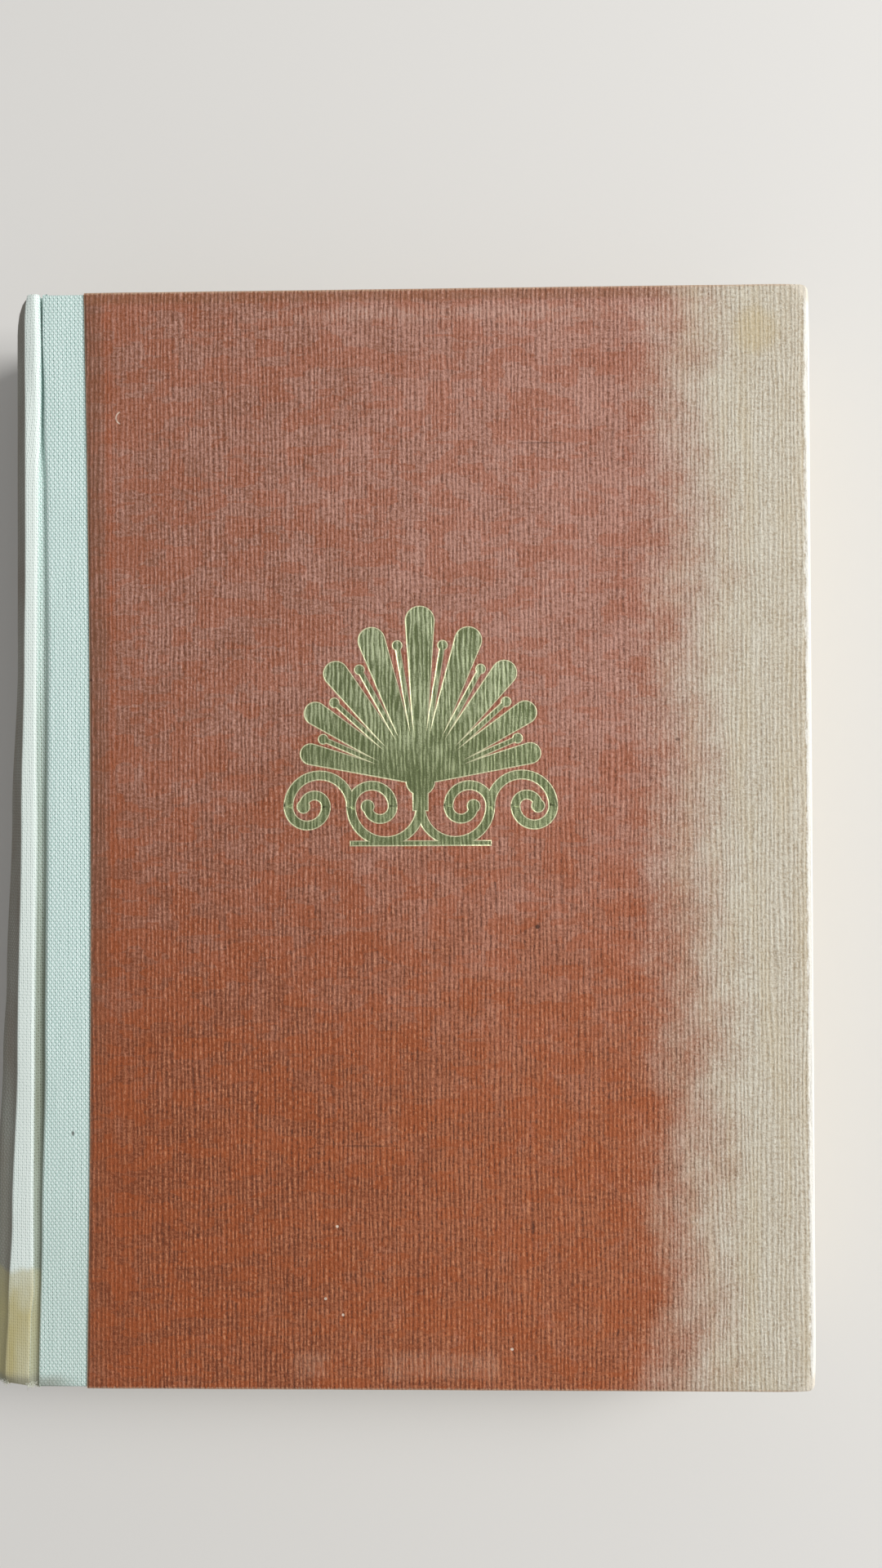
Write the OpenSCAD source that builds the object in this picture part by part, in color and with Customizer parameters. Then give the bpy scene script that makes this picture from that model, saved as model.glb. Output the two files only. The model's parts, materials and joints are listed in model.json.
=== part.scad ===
// Hardback book in a quarter-cloth case, lying closed with its front cover up.
// The spine is towards -X, the fore-edge towards +X and the head towards +Y.
// The text block is rounded and backed: its spine bulges, its fore-edge is hollow, and its
// outer sections are bent over into shoulders that stand as high as the boards beside them.
// Sections are drawn in X and Z, from the hinge line (X = 0) and the block's middle (Z = 0).

/* [Boards] */
// Width of a board, from its spine edge to its fore-edge
board_w = 165; // [110:1:230]
// Height of a board, from head to tail
board_h = 240; // [160:1:320]
// Thickness of a board
board_t = 2.6; // [2.2:0.1:3.6]
// Radius of a board's long edges
arris_r = 0.5; // [0.3:0.1:0.8]
// Radius of a board's two outer corners, seen from above
corner_r = 1.2; // [0.8:0.1:6]

/* [Cloth and paper] */
// Thickness of the covering cloth
cloth_t = 0.4; // [0.2:0.05:0.5]
// Thickness of the side papers
paper_t = 0.3; // [0.25:0.05:0.5]
// Width of cloth that shows on each board
cloth_show = 8.6; // [4:0.2:40]
// Width of cloth that runs on under the side paper
cloth_lap = 5; // [2:0.5:10]
// Width of what is turned in over the edges of the boards
turn_in = 15; // [8:1:20]

/* [Text block] */
// Thickness of the block of pages
block_t = 25.5; // [14:0.5:50]
// Distance from the pages to a board's head or tail
head_square = 3.5; // [2:0.5:6]
// Distance from the pages to a board's fore-edge
fore_square = 3.5; // [2:0.5:6]
// Number of sewn sections
section_count = 18; // [8:1:30]
// Depth of the hollow between two folded sections at the spine
fold_depth = 0.35; // [0.1:0.05:0.4]
// Depth of the hollow fore-edge
fore_hollow = 4; // [2:0.5:6]
// Thickness of an endpaper leaf
leaf_t = 0.2; // [0.1:0.05:0.3]
// Gap between an endpaper's two leaves
leaf_gap = 0.1; // [0.1:0.05:0.2]

/* [Spine] */
// Clear width of the groove between a board and the shoulder
groove_w = 2.8; // [2.2:0.1:6]
// How far the block's spine bulges beyond the centre of its shoulder
spine_round = 5.2; // [3:0.1:8]
// Radius of the shoulder's tip
shoulder_r = 0.5; // [0.3:0.1:0.6]
// How far the spine's crest stands above the cloth on a board
crest_rise = 0.05; // [0:0.05:0.15]
// Thickness of the mull, the open gauze that holds the block in its case
mull_t = 0.2; // [0.1:0.05:0.3]
// Width of the mull's flap on each board
mull_flap = 26; // [18:1:40]
// Distance from the mull's ends to the cloth's turn-ins
mull_gap = 3; // [1:0.5:10]
// Thickness of the spine lining
lining_t = 0.25; // [0.2:0.05:0.6]
// Gap of the hollow back, which also takes the cloth's turn-in
hollow_t = 0.5; // [0.5:0.05:1.5]
// Thickness of the card inlay behind the spine cloth
inlay_t = 0.45; // [0.3:0.05:1]
// Width of the cloth's rise from the shoulder to the edge of the inlay
ramp_w = 6; // [4:0.5:7]

/* [Head and tail bands] */
// Thickness of the woven bead
bead_d = 1.8; // [1.2:0.1:2.4]
// Height of the tape that glues a band to the spine
tape_h = 10; // [6:1:12]

/* [Gilt ornament] */
// Distance from the board's spine edge to the ornament's centre
ornament_x = 81.2; // [60:0.2:100]
// Distance from the middle of the cover up to the ornament's centre
ornament_y = 25.4; // [-60:0.2:60]
// Length of the middle petal
petal_l = 38; // [30:0.5:40]
// Length that each petal loses to its inner neighbour
petal_step = 2.8; // [1.5:0.1:3.5]
// Radius of the middle petal's round tip
petal_r = 3; // [2:0.1:3.6]
// Angle between two petals
petal_angle = 19; // [17:0.5:20]
// Radius of the inner scrolls
scroll_r = 7.6; // [6:0.2:9]
// Width of a scroll's line
scroll_w = 1.6; // [1:0.1:2]
// Width of the fine lines
line_w = 0.7; // [0.5:0.1:1.2]
// Depth of the ornament below the paper's face
ornament_depth = 0.2; // [0.15:0.01:0.2]
// Thickness of the gilding
gilt_t = 0.1; // [0.05:0.01:0.12]

/* [Hidden] */
$fn = 48;
// Clearance under what is glued on over rounded folds
glue_gap = 0.03;
// Clearance between the head or tail of the block and what sits on it
seat_gap = 0.05;
// Least straight height of the shoulder's wall
wall_h = 0.1;
cut = 1;
arris_steps = 4;
fillet_steps = 6;
ramp_steps = 10;
spine_steps = 24;
lobe_steps = 6;
fore_steps = 16;

page_h = board_h - 2 * head_square;
mull_h = board_h - 2 * (turn_in + mull_gap);
half_block = block_t / 2;

// Heights of the layers on top of the block, from its middle
pastedown_z = half_block + leaf_t + leaf_gap;
inner_z = pastedown_z + leaf_t;
outer_z = inner_z + board_t;
face_z = outer_z + paper_t;
floor_z = inner_z + mull_t;

// Places along X, from the hinge line
groove_x = groove_w / 2;
board_x = groove_x + cloth_t;
fore_x = board_x + board_w;
paper_x = groove_x + cloth_show;
cloth_x = paper_x + cloth_lap;
page_x = fore_x - fore_square;

// Offsets from the block's surface: on the shoulder's wall, and on its crest
wall_mull = 2 * leaf_t + leaf_gap;
wall_cloth = wall_mull + mull_t;
wall_face = wall_cloth + cloth_t;
shoulder_x = -groove_x - wall_face;

// Centre of the shoulder's tip, and the fillet at its foot
tip = [shoulder_x - shoulder_r, outer_z + crest_rise - cloth_t - mull_t - shoulder_r];
groove_r = min(tip[1] - half_block - wall_face - wall_h, groove_x - wall_h);
fillet_r = groove_r + wall_face;
foot = [shoulder_x + fillet_r, half_block + fillet_r];

// The spine's arc passes tangent to both tips
spine_r = (pow(spine_round, 2) + pow(tip[1], 2) - pow(shoulder_r, 2))
          / (2 * (spine_round - shoulder_r));
spine_x = tip[0] - spine_round + spine_r;
tip_angle = atan2(tip[1], tip[0] - spine_x);
inlay_angle = tip_angle + ramp_w / spine_r * 180 / PI;
spine_rise = lining_t + hollow_t + inlay_t;
inlay_r = spine_r + mull_t + lining_t + hollow_t;
back_r = inlay_r + inlay_t + cloth_t;
bead_y = page_h / 2 + seat_gap + bead_d / 2;

// Place of the hinge line in the finished part
hinge_x = -(spine_x - back_r + fore_x + paper_t) / 2;
hinge_z = face_z;

// Parts of the ornament, from its centre
root_y = -13;
side_petals = 4;
petal_foot = 1.2;
stamen_share = 0.82;
calyx_r = 3;
berry_r = 0.9;
scroll_drop = 5.5;
scroll_shrink = 0.6;
outer_share = 0.9;

function polar(centre, r, a) = centre + r * [cos(a), sin(a)];
function arc(centre, r, from, to, steps, first = 0) =
    [for (i = [first:steps]) polar(centre, r, from + (to - from) * i / steps)];
function reversed(points) = [for (i = [len(points) - 1:-1:0]) points[i]];
function mirrored(points) = [for (p = reversed(points)) [p[0], -p[1]]];
function smooth(t) = t * t * (3 - 2 * t);

// Foot and wall of the shoulder at an offset, from the hinge line up
function wall_path(offset) = concat(
    [[0, half_block + offset]],
    arc(foot, fillet_r - offset, 270, 180, fillet_steps),
    [[shoulder_x + offset, tip[1]]]);

// The same with the crest, to the top of the tip
function crest_path(wall, crest) = concat(
    wall_path(wall),
    arc(tip + [wall - crest, 0], shoulder_r + crest, 0, 90, fillet_steps, 1));

// The whole shoulder, to where the tip meets the spine's arc
function shoulder_path(wall, crest) = concat(
    crest_path(wall, crest),
    arc(tip, shoulder_r + crest, 90, tip_angle, fillet_steps, wall > crest ? 0 : 1));

// One half of the spine's section, up to the edge of the inlay, rising over it
function half_path(wall, crest, rise) = concat(
    shoulder_path(wall, crest),
    [for (i = [1:ramp_steps - 1])
        let(a = tip_angle + (inlay_angle - tip_angle) * i / ramp_steps)
            polar([spine_x, 0], spine_r + crest + rise * smooth(i / ramp_steps), a)]);

// The whole spine's section at an offset, from the front hinge line to the back one
function spine_path(wall, crest, rise) = concat(
    half_path(wall, crest, rise),
    arc([spine_x, 0], spine_r + crest + rise, inlay_angle, 360 - inlay_angle, spine_steps),
    mirrored(half_path(wall, crest, rise)));

// Folds of the sewn sections, each a round lobe on the spine's arc
function lobe_path() =
    let(span = (360 - 2 * tip_angle) / section_count)
        [for (i = [0:section_count - 1]) for (k = [0:lobe_steps - 1])
            let(u = 2 * (k + 0.5) / lobe_steps - 1)
                polar([spine_x, 0], spine_r - glue_gap - fold_depth * (1 - sqrt(1 - u * u)),
                      tip_angle + span * (i + (k + 0.5) / lobe_steps))];

// Hollow of the fore-edge, from top to bottom
function fore_path() =
    let(r = (pow(half_block, 2) + pow(fore_hollow, 2)) / (2 * fore_hollow),
        a = asin(half_block / r))
        arc([page_x - fore_hollow + r, 0], r, 180 - a, 180 + a, fore_steps);

// Puts a piece that is drawn about the hinge line and the block's middle in its place
module placed() translate([hinge_x, 0, hinge_z]) children();

// Runs a section in X and Z along the book's height
module run(height) rotate([90, 0, 0]) linear_extrude(height, center = true) children();

// Runs a section from one distance from the middle to another, at the head and at the tail
module run_ends(from, to)
    for (side = [-1, 1])
        translate([0, side * (from + to) / 2, 0]) run(to - from) children();

module rounded(x0, x1, y0, y1, r)
    polygon(concat(arc([x1 - r, y1 - r], r, 0, 90, arris_steps),
                   arc([x0 + r, y1 - r], r, 90, 180, arris_steps),
                   arc([x0 + r, y0 + r], r, 180, 270, arris_steps),
                   arc([x1 - r, y0 + r], r, 270, 360, arris_steps)));

// A board's form from x0 to x1, rounded on its head, tail and fore-edge
module slab(x0, x1, half_h, z0, z1, edge_r, plan_r)
    intersection() {
        translate([x0, 0, 0]) rotate([90, 0, 90]) linear_extrude(x1 - x0)
            rounded(-half_h, half_h, z0, z1, edge_r);
        run(2 * half_h + cut) rounded(x0 - x1, x1, z0, z1, edge_r);
        translate([0, 0, z0 - cut]) linear_extrude(z1 - z0 + 2 * cut)
            rounded(x0 - x1, x1, -half_h, half_h, plan_r);
    }

module box(x0, x1, half_h, z0, z1)
    translate([x0, -half_h, z0]) cube([x1 - x0, 2 * half_h, z1 - z0]);

// The board inside its side paper, which is pressed flush where it is turned in
module paper_core(x0) slab(x0, fore_x, board_h / 2, inner_z + paper_t, outer_z, arris_r, corner_r);

// The board inside its cloth, which runs on under the paper as far as cloth_x
module cloth_core()
    difference() {
        intersection() {
            box(board_x, cloth_x, board_h / 2 - cloth_t, inner_z + cloth_t, outer_z - cloth_t);
            rotate([90, 0, 90]) linear_extrude(cloth_x)
                rounded(cloth_t - board_h / 2, board_h / 2 - cloth_t,
                        inner_z + cloth_t, outer_z - cloth_t, arris_r);
            run(board_h) rounded(board_x, 2 * cloth_x, inner_z + cloth_t, outer_z - cloth_t, arris_r);
        }
        box(paper_x, cloth_x + cut, board_h, inner_z - cut, inner_z + paper_t + cloth_t);
    }

// What lies inside the turn-ins, and stands level with them
module board_pad() box(board_x, fore_x - turn_in, board_h / 2 - turn_in, inner_z, outer_z - cut);

module mull_flap_form() box(0, mull_flap, mull_h / 2, inner_z, floor_z);

module board()
    difference() {
        union() {
            paper_core(cloth_x);
            cloth_core();
            board_pad();
        }
        mull_flap_form();
    }

// The cloth from the hinge line through the groove to the board's long edge
module groove_section()
    polygon(concat(
        [[0, floor_z], [0, floor_z + cloth_t]],
        arc([groove_x - groove_r, floor_z + cloth_t + groove_r], groove_r, 270, 360, fillet_steps),
        arc([board_x + arris_r, outer_z - cloth_t - arris_r], arris_r + cloth_t, 180, 90, arris_steps),
        arc([board_x + arris_r, outer_z - cloth_t - arris_r], arris_r, 90, 180, arris_steps),
        arc([groove_x - groove_r, floor_z + cloth_t + groove_r], groove_r + cloth_t, 360, 270,
            fillet_steps)));

// The cloth on the end of the board beside the groove
module groove_end_section()
    polygon(concat(
        [[board_x + arris_r, inner_z]],
        arc([board_x + arris_r, outer_z - cloth_t - arris_r], arris_r + cloth_t, 90, 180, arris_steps),
        [[groove_x, floor_z + cloth_t + groove_r], [board_x, inner_z]]));

module cover_cloth() {
    difference() {
        translate([board_x + arris_r, 0, 0]) rotate([90, 0, 90])
            linear_extrude(cloth_x - board_x - arris_r)
                rounded(-board_h / 2, board_h / 2, inner_z, outer_z, arris_r);
        cloth_core();
        box(0, cloth_x + cut, board_h / 2 - turn_in, inner_z - cut, outer_z - cloth_t);
        box(paper_x, cloth_x + cut, board_h, inner_z - cut, inner_z + paper_t);
    }
    run(board_h) groove_section();
    run_ends(board_h / 2 - cloth_t, board_h / 2) groove_end_section();
    run_ends(board_h / 2 - turn_in, board_h / 2)
        translate([board_x, inner_z]) square([arris_r, cloth_t]);
}

module side_paper()
    difference() {
        slab(paper_x, fore_x + paper_t, board_h / 2 + paper_t, inner_z, face_z,
             arris_r + paper_t, corner_r + paper_t);
        paper_core(paper_x - cut);
        box(paper_x - cut, fore_x - turn_in, board_h / 2 - turn_in, inner_z - cut, outer_z - cut);
    }

module pastedown() box(0, page_x, page_h / 2, pastedown_z, inner_z);

// An endpaper: the flyleaf on the pages, and its fold at the shoulder's tip towards the pastedown
module flyleaf()
    run(page_h) polygon(concat(
        [[page_x, half_block]],
        crest_path(0, 0),
        reversed(crest_path(wall_mull, 0)),
        wall_path(leaf_t + leaf_gap),
        reversed(wall_path(leaf_t)),
        [[page_x, half_block + leaf_t]]));

// A band at the head: a bead on the ends of the sections, and its tape on their folds
module band()
    translate([spine_x, 0, 0]) rotate([-90, 0, 0]) rotate([0, 0, inlay_angle])
        rotate_extrude(angle = 360 - 2 * inlay_angle) {
            translate([spine_r + (mull_t - bead_d) / 2, bead_y]) circle(d = bead_d);
            translate([spine_r, bead_y - tape_h]) square([mull_t, tape_h]);
        }

// A layer on the spine between two offsets, as wide as the inlay
module spine_layer(inner, outer)
    polygon(concat(
        arc([spine_x, 0], spine_r + outer, inlay_angle, 360 - inlay_angle, spine_steps),
        arc([spine_x, 0], spine_r + inner, 360 - inlay_angle, inlay_angle, spine_steps)));

// A petal from the origin up, which widens from a narrow foot to a round tip
module petal(length, r) {
    polygon([[-petal_foot / 2, 0], [petal_foot / 2, 0], [r, length - r], [-r, length - r]]);
    translate([0, length - r]) circle(r);
}

// A fine stem from the origin up, with a berry on its end
module stamen(length) {
    translate([-line_w / 2, 0]) square([line_w, length]);
    translate([0, length]) circle(berry_r);
}

// Half a ring on the origin, above the X axis or below it
module half_ring(r, w, above)
    intersection() {
        difference() {
            circle(r + w / 2);
            circle(r - w / 2);
        }
        translate([-2 * r, above ? 0 : -2 * r]) square([4 * r, 2 * r]);
    }

// A scroll from the origin towards +X: half rings that shrink turn by turn to a berry
module scroll(r, above) {
    middle_r = r * scroll_shrink;
    inner_r = middle_r * scroll_shrink;
    translate([r, 0]) half_ring(r, scroll_w, above);
    translate([2 * r - middle_r, 0]) half_ring(middle_r, scroll_w, !above);
    translate([2 * (r - middle_r) + inner_r, 0]) half_ring(inner_r, scroll_w, above);
    translate([2 * (r - middle_r + inner_r), 0]) circle(berry_r + line_w / 2);
}

// A palmette of nine petals on four scrolls, over a fine ground line
module ornament() {
    translate([0, root_y]) {
        for (i = [-side_petals:side_petals]) {
            length = petal_l - petal_step * abs(i);
            rotate(-i * petal_angle) petal(length, petal_r * length / petal_l);
        }
        for (i = [-side_petals:side_petals - 1])
            rotate(-(i + 0.5) * petal_angle) stamen((petal_l - petal_step * abs(i + 0.5)) * stamen_share);
        circle(calyx_r);
        translate([-calyx_r / 2, -scroll_drop - scroll_w / 2]) square([calyx_r, scroll_drop]);
        translate([0, -scroll_drop]) for (side = [0, 1]) mirror([side, 0]) {
            scroll(scroll_r, false);
            translate([2 * scroll_r, 0]) scroll(scroll_r * outer_share, true);
        }
        translate([-2 * scroll_r, -scroll_drop - scroll_r - scroll_w / 2])
            square([4 * scroll_r, line_w]);
    }
}

module ornament_place(from, to)
    translate([board_x + ornament_x, ornament_y, from]) linear_extrude(to - from) ornament();

module text_block()
    color("oldlace") placed() run(page_h)
        polygon(concat(shoulder_path(0, 0), lobe_path(), mirrored(shoulder_path(0, 0)),
                       reversed(fore_path())));

module front_flyleaf() color("ivory") placed() flyleaf();
module back_flyleaf() color("ivory") placed() mirror([0, 0, 1]) flyleaf();

module mull()
    color("wheat") placed() run(mull_h)
        polygon(concat(spine_path(wall_mull, 0, 0), reversed(spine_path(wall_cloth, mull_t, 0))));

module spine_lining()
    color("tan") placed() run(mull_h) spine_layer(mull_t, mull_t + lining_t);

module head_band() color("firebrick") placed() band();
module tail_band() color("firebrick") placed() mirror([0, 1, 0]) band();

module spine_inlay()
    color("burlywood") placed() run(board_h - 2 * cloth_t)
        spine_layer(inlay_r - spine_r, inlay_r - spine_r + inlay_t);

module spine_cloth()
    color("honeydew") placed() {
        run(board_h)
            polygon(concat(spine_path(wall_cloth, mull_t, spine_rise),
                           reversed(spine_path(wall_face, mull_t + cloth_t, spine_rise))));
        run_ends(board_h / 2 - cloth_t, board_h / 2)
            spine_layer(inlay_r - spine_r - cloth_t, inlay_r - spine_r + inlay_t);
        run_ends(board_h / 2 - turn_in, board_h / 2)
            spine_layer(inlay_r - spine_r - cloth_t, inlay_r - spine_r);
    }

module front_board() color("darkgray") placed() board();
module back_board() color("darkgray") placed() mirror([0, 0, 1]) board();

module front_mull_flap() color("wheat") placed() mull_flap_form();
module back_mull_flap() color("wheat") placed() mirror([0, 0, 1]) mull_flap_form();

module front_cloth() color("honeydew") placed() cover_cloth();
module back_cloth() color("honeydew") placed() mirror([0, 0, 1]) cover_cloth();

module front_side_paper()
    color("sienna") placed() difference() {
        side_paper();
        ornament_place(face_z - ornament_depth, face_z + cut);
    }

module back_side_paper() color("sienna") placed() mirror([0, 0, 1]) side_paper();

module front_pastedown() color("ivory") placed() pastedown();
module back_pastedown() color("ivory") placed() mirror([0, 0, 1]) pastedown();

module gilt_ornament()
    color("darkkhaki") placed()
        ornament_place(face_z - ornament_depth, face_z - ornament_depth + gilt_t);

text_block();
front_flyleaf();
back_flyleaf();
mull();
spine_lining();
head_band();
tail_band();
spine_inlay();
spine_cloth();
front_board();
front_mull_flap();
front_cloth();
front_side_paper();
front_pastedown();
gilt_ornament();
back_board();
back_mull_flap();
back_cloth();
back_side_paper();
back_pastedown();
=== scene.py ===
"""Dresses a quarter-cloth hardback book that lies closed with its front cover up.

The book's section is worked out in millimetres, from the front hinge line (X = 0) and the
middle of the text block (Z = 0). Every builder works in those coordinates, and a finished
mesh is then set in its place in metres. The back of the book is the front, mirrored in Z.
"""
import json
import logging
import math
import random
from dataclasses import dataclass
from enum import Enum
from typing import Any, Callable

import bmesh
import bpy
from mathutils import Matrix, Vector, noise


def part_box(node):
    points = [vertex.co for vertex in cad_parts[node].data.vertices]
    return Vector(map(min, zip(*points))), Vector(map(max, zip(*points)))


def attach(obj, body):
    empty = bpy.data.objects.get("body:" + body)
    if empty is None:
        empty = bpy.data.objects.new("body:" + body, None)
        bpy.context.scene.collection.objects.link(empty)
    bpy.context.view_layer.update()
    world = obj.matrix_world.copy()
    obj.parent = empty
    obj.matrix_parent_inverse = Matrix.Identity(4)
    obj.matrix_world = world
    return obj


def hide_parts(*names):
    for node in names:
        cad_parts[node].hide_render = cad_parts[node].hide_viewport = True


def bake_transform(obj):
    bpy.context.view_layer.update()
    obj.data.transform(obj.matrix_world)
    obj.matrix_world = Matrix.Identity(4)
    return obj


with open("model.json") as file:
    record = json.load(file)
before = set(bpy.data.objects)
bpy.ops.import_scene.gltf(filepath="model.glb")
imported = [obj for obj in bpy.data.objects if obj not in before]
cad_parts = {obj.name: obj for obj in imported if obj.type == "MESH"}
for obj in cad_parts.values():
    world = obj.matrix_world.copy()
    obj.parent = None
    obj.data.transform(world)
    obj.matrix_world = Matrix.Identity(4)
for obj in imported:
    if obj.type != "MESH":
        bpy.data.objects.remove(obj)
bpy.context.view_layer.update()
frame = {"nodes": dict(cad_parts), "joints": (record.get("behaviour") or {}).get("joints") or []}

LOG = logging.getLogger("hardback_book")
MM = 0.001
TAU = 2 * math.pi

Point = tuple[float, float]
Colour = tuple[float, float, float, float]


class Side(Enum):
    """The two covers of the book."""

    FRONT = 1
    BACK = -1

    @property
    def word(self) -> str:
        """The side's name in the names of nodes."""
        return self.name.lower()

    @property
    def body(self) -> str:
        """The body that this side's cover belongs to."""
        return f"{self.word}_cover"


class End(Enum):
    """The two ends of the spine."""

    HEAD = 1
    TAIL = -1

    @property
    def word(self) -> str:
        """The end's name in the names of nodes."""
        return self.name.lower()


def srgb(red: float, green: float, blue: float) -> Colour:
    """Turns a colour of 0 to 255 as seen on a screen into Blender's linear one.

    Args:
        red: Red, 0 to 255.
        green: Green, 0 to 255.
        blue: Blue, 0 to 255.

    Returns:
        The linear colour with an alpha of 1.
    """
    linear = []
    for value in (red, green, blue):
        share = value / 255
        linear.append(share / 12.92 if share <= 0.04045 else ((share + 0.055) / 1.055) ** 2.4)
    return (linear[0], linear[1], linear[2], 1.0)


def smooth(share: float) -> float:
    """Eases a share from 0 to 1 in and out.

    Args:
        share: Any number, held to 0 and 1.

    Returns:
        The eased share.
    """
    held = min(max(share, 0.0), 1.0)
    return held * held * (3 - 2 * held)


def arc(centre: Point, radius: float, start: float, end: float, steps: int, skip: int = 0) -> list[Point]:
    """Points along an arc.

    Args:
        centre: The arc's centre.
        radius: Its radius.
        start: The first angle, in degrees.
        end: The last angle, in degrees.
        steps: The number of steps between them.
        skip: How many of the first points to leave out.

    Returns:
        The points.
    """
    points = []
    for step in range(skip, steps + 1):
        angle = math.radians(start + (end - start) * step / steps)
        points.append((centre[0] + radius * math.cos(angle), centre[1] + radius * math.sin(angle)))
    return points


def line(start: Point, end: Point, steps: int, skip: int = 0) -> list[Point]:
    """Points along a straight line.

    Args:
        start: The first point.
        end: The last point.
        steps: The number of steps between them.
        skip: How many of the first points to leave out.

    Returns:
        The points.
    """
    return [
        (start[0] + (end[0] - start[0]) * step / steps, start[1] + (end[1] - start[1]) * step / steps)
        for step in range(skip, steps + 1)
    ]


def ripple(x: float, y: float, seed: float) -> float:
    """Smooth noise over a surface.

    Args:
        x: Place across, in units of one ripple.
        y: Place along, in the same units.
        seed: A number that picks the pattern.

    Returns:
        A number of about -1 to 1.
    """
    return noise.noise(Vector((x, y, seed)))


def distances(points: list[Point]) -> list[float]:
    """The distance along a row of points to each of them.

    Args:
        points: The points.

    Returns:
        As many distances, from 0.
    """
    found = [0.0]
    for before, after in zip(points, points[1:]):
        found.append(found[-1] + math.dist(before, after))
    return found


def span(node: str) -> tuple[Vector, Vector]:
    """A node's lowest and highest corners in millimetres.

    Args:
        node: The node's name.

    Returns:
        The two corners.
    """
    low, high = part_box(node)
    return low / MM, high / MM


@dataclass(frozen=True)
class Section:
    """The book's section across the spine, in millimetres from the hinge line and the block's middle."""

    hinge_x: float
    middle_z: float
    board_x: float
    board_half: float
    fore_x: float
    paper_x: float
    cloth_x: float
    inner_z: float
    outer_z: float
    face_z: float
    half_block: float
    page_x: float
    page_half: float
    tip_z: float
    bulge: float
    cloth_t: float = 0.4
    mull_t: float = 0.2
    leaf_t: float = 0.2
    leaf_gap: float = 0.1
    arris_r: float = 0.5
    shoulder_r: float = 0.5
    glue_gap: float = 0.03
    turn_in: float = 15.0
    fore_hollow: float = 4.0
    ramp_w: float = 6.0
    spine_rise: float = 1.2
    inlay_t: float = 0.45

    @classmethod
    def from_frame(cls) -> "Section":
        """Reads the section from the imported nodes.

        Returns:
            The section.
        """
        hinge = next(j for j in frame["joints"] if j["name"] == "front_cover_hinge")
        hinge_x = hinge["pos_m"][0] / MM
        block_low, block_high = span("text_block")
        middle_z = (block_low.z + block_high.z) / 2
        board_low, _ = span("front_board")
        paper_low, paper_high = span("front_side_paper")
        _, cloth_high = span("front_cloth")
        _, pasted_high = span("front_pastedown")
        leaf_low, _ = span("front_flyleaf")
        _, mull_high = span("mull")
        return cls(
            hinge_x=hinge_x,
            middle_z=middle_z,
            board_x=board_low.x - hinge_x,
            board_half=cloth_high.y,
            fore_x=paper_high.x - hinge_x,
            paper_x=paper_low.x - hinge_x,
            cloth_x=cloth_high.x - hinge_x,
            inner_z=pasted_high.z - middle_z,
            outer_z=cloth_high.z - middle_z,
            face_z=paper_high.z - middle_z,
            half_block=leaf_low.z - middle_z,
            page_x=block_high.x - hinge_x,
            page_half=block_high.y,
            tip_z=mull_high.z - middle_z - cls.shoulder_r - cls.mull_t,
            bulge=hinge_x - block_low.x,
        )

    @property
    def groove_x(self) -> float:
        """Half the clear width of the groove."""
        return self.board_x - self.cloth_t

    @property
    def groove_sides(self) -> list[tuple[float, float, float]]:
        """The groove's two sides at the block's middle, in metres."""
        places = (self.hinge_x - self.groove_x, self.hinge_x + self.groove_x)
        return [(x * MM, 0, self.middle_z * MM) for x in places]

    @property
    def floor_z(self) -> float:
        """Height of the inner face of the cloth in the groove."""
        return self.inner_z + self.mull_t

    @property
    def wall(self) -> float:
        """How far the cloth's face stands off the block at the shoulder."""
        return 2 * self.leaf_t + self.leaf_gap + self.mull_t + self.cloth_t

    @property
    def tip(self) -> Point:
        """Centre of the shoulder's round tip."""
        return (-self.groove_x - self.wall - self.shoulder_r, self.tip_z)

    @property
    def groove_r(self) -> float:
        """Radius of the cloth's face at the foot of the groove."""
        return self.tip_z - self.half_block - self.wall - 0.1

    @property
    def foot(self) -> Point:
        """Centre of the fillet at the foot of the shoulder."""
        reach = self.groove_r + self.wall
        return (-self.groove_x - self.wall + reach, self.half_block + reach)

    @property
    def spine_round(self) -> float:
        """How far the block's spine bulges beyond the centre of its shoulder."""
        return self.tip[0] + self.bulge + self.glue_gap

    @property
    def spine_r(self) -> float:
        """Radius of the block's rounded spine."""
        return (self.spine_round**2 + self.tip_z**2 - self.shoulder_r**2) / (
            2 * (self.spine_round - self.shoulder_r)
        )

    @property
    def spine_x(self) -> float:
        """Place of the centre of the rounded spine."""
        return self.tip[0] - self.spine_round + self.spine_r

    @property
    def tip_angle(self) -> float:
        """Angle at which the shoulder's tip meets the rounded spine, in degrees."""
        return math.degrees(math.atan2(self.tip_z, self.tip[0] - self.spine_x))

    @property
    def inlay_angle(self) -> float:
        """Angle of the spine inlay's edge, in degrees."""
        return self.tip_angle + math.degrees(self.ramp_w / self.spine_r)

    def spine_point(self, offset: float, angle: float) -> Point:
        """A point on the rounded spine.

        Args:
            offset: How far it stands off the block.
            angle: Its angle, in degrees.

        Returns:
            The point.
        """
        turn = math.radians(angle)
        reach = self.spine_r + offset
        return (self.spine_x + reach * math.cos(turn), reach * math.sin(turn))


SECTION = Section.from_frame()


def stand(name: str, data: Any) -> bpy.types.Object:
    """Stands a new object in the scene.

    Args:
        name: The object's name.
        data: Its mesh, lamp or camera.

    Returns:
        The object.
    """
    made = bpy.data.objects.new(name, data)
    bpy.context.scene.collection.objects.link(made)
    return made


def stand_mesh(mesh: bmesh.types.BMesh, name: str) -> bpy.types.Object:
    """Stands a mesh in the scene as it is.

    Args:
        mesh: The mesh, which is freed.
        name: The object's name.

    Returns:
        The object.
    """
    data = bpy.data.meshes.new(name)
    mesh.to_mesh(data)
    mesh.free()
    return stand(name, data)


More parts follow.
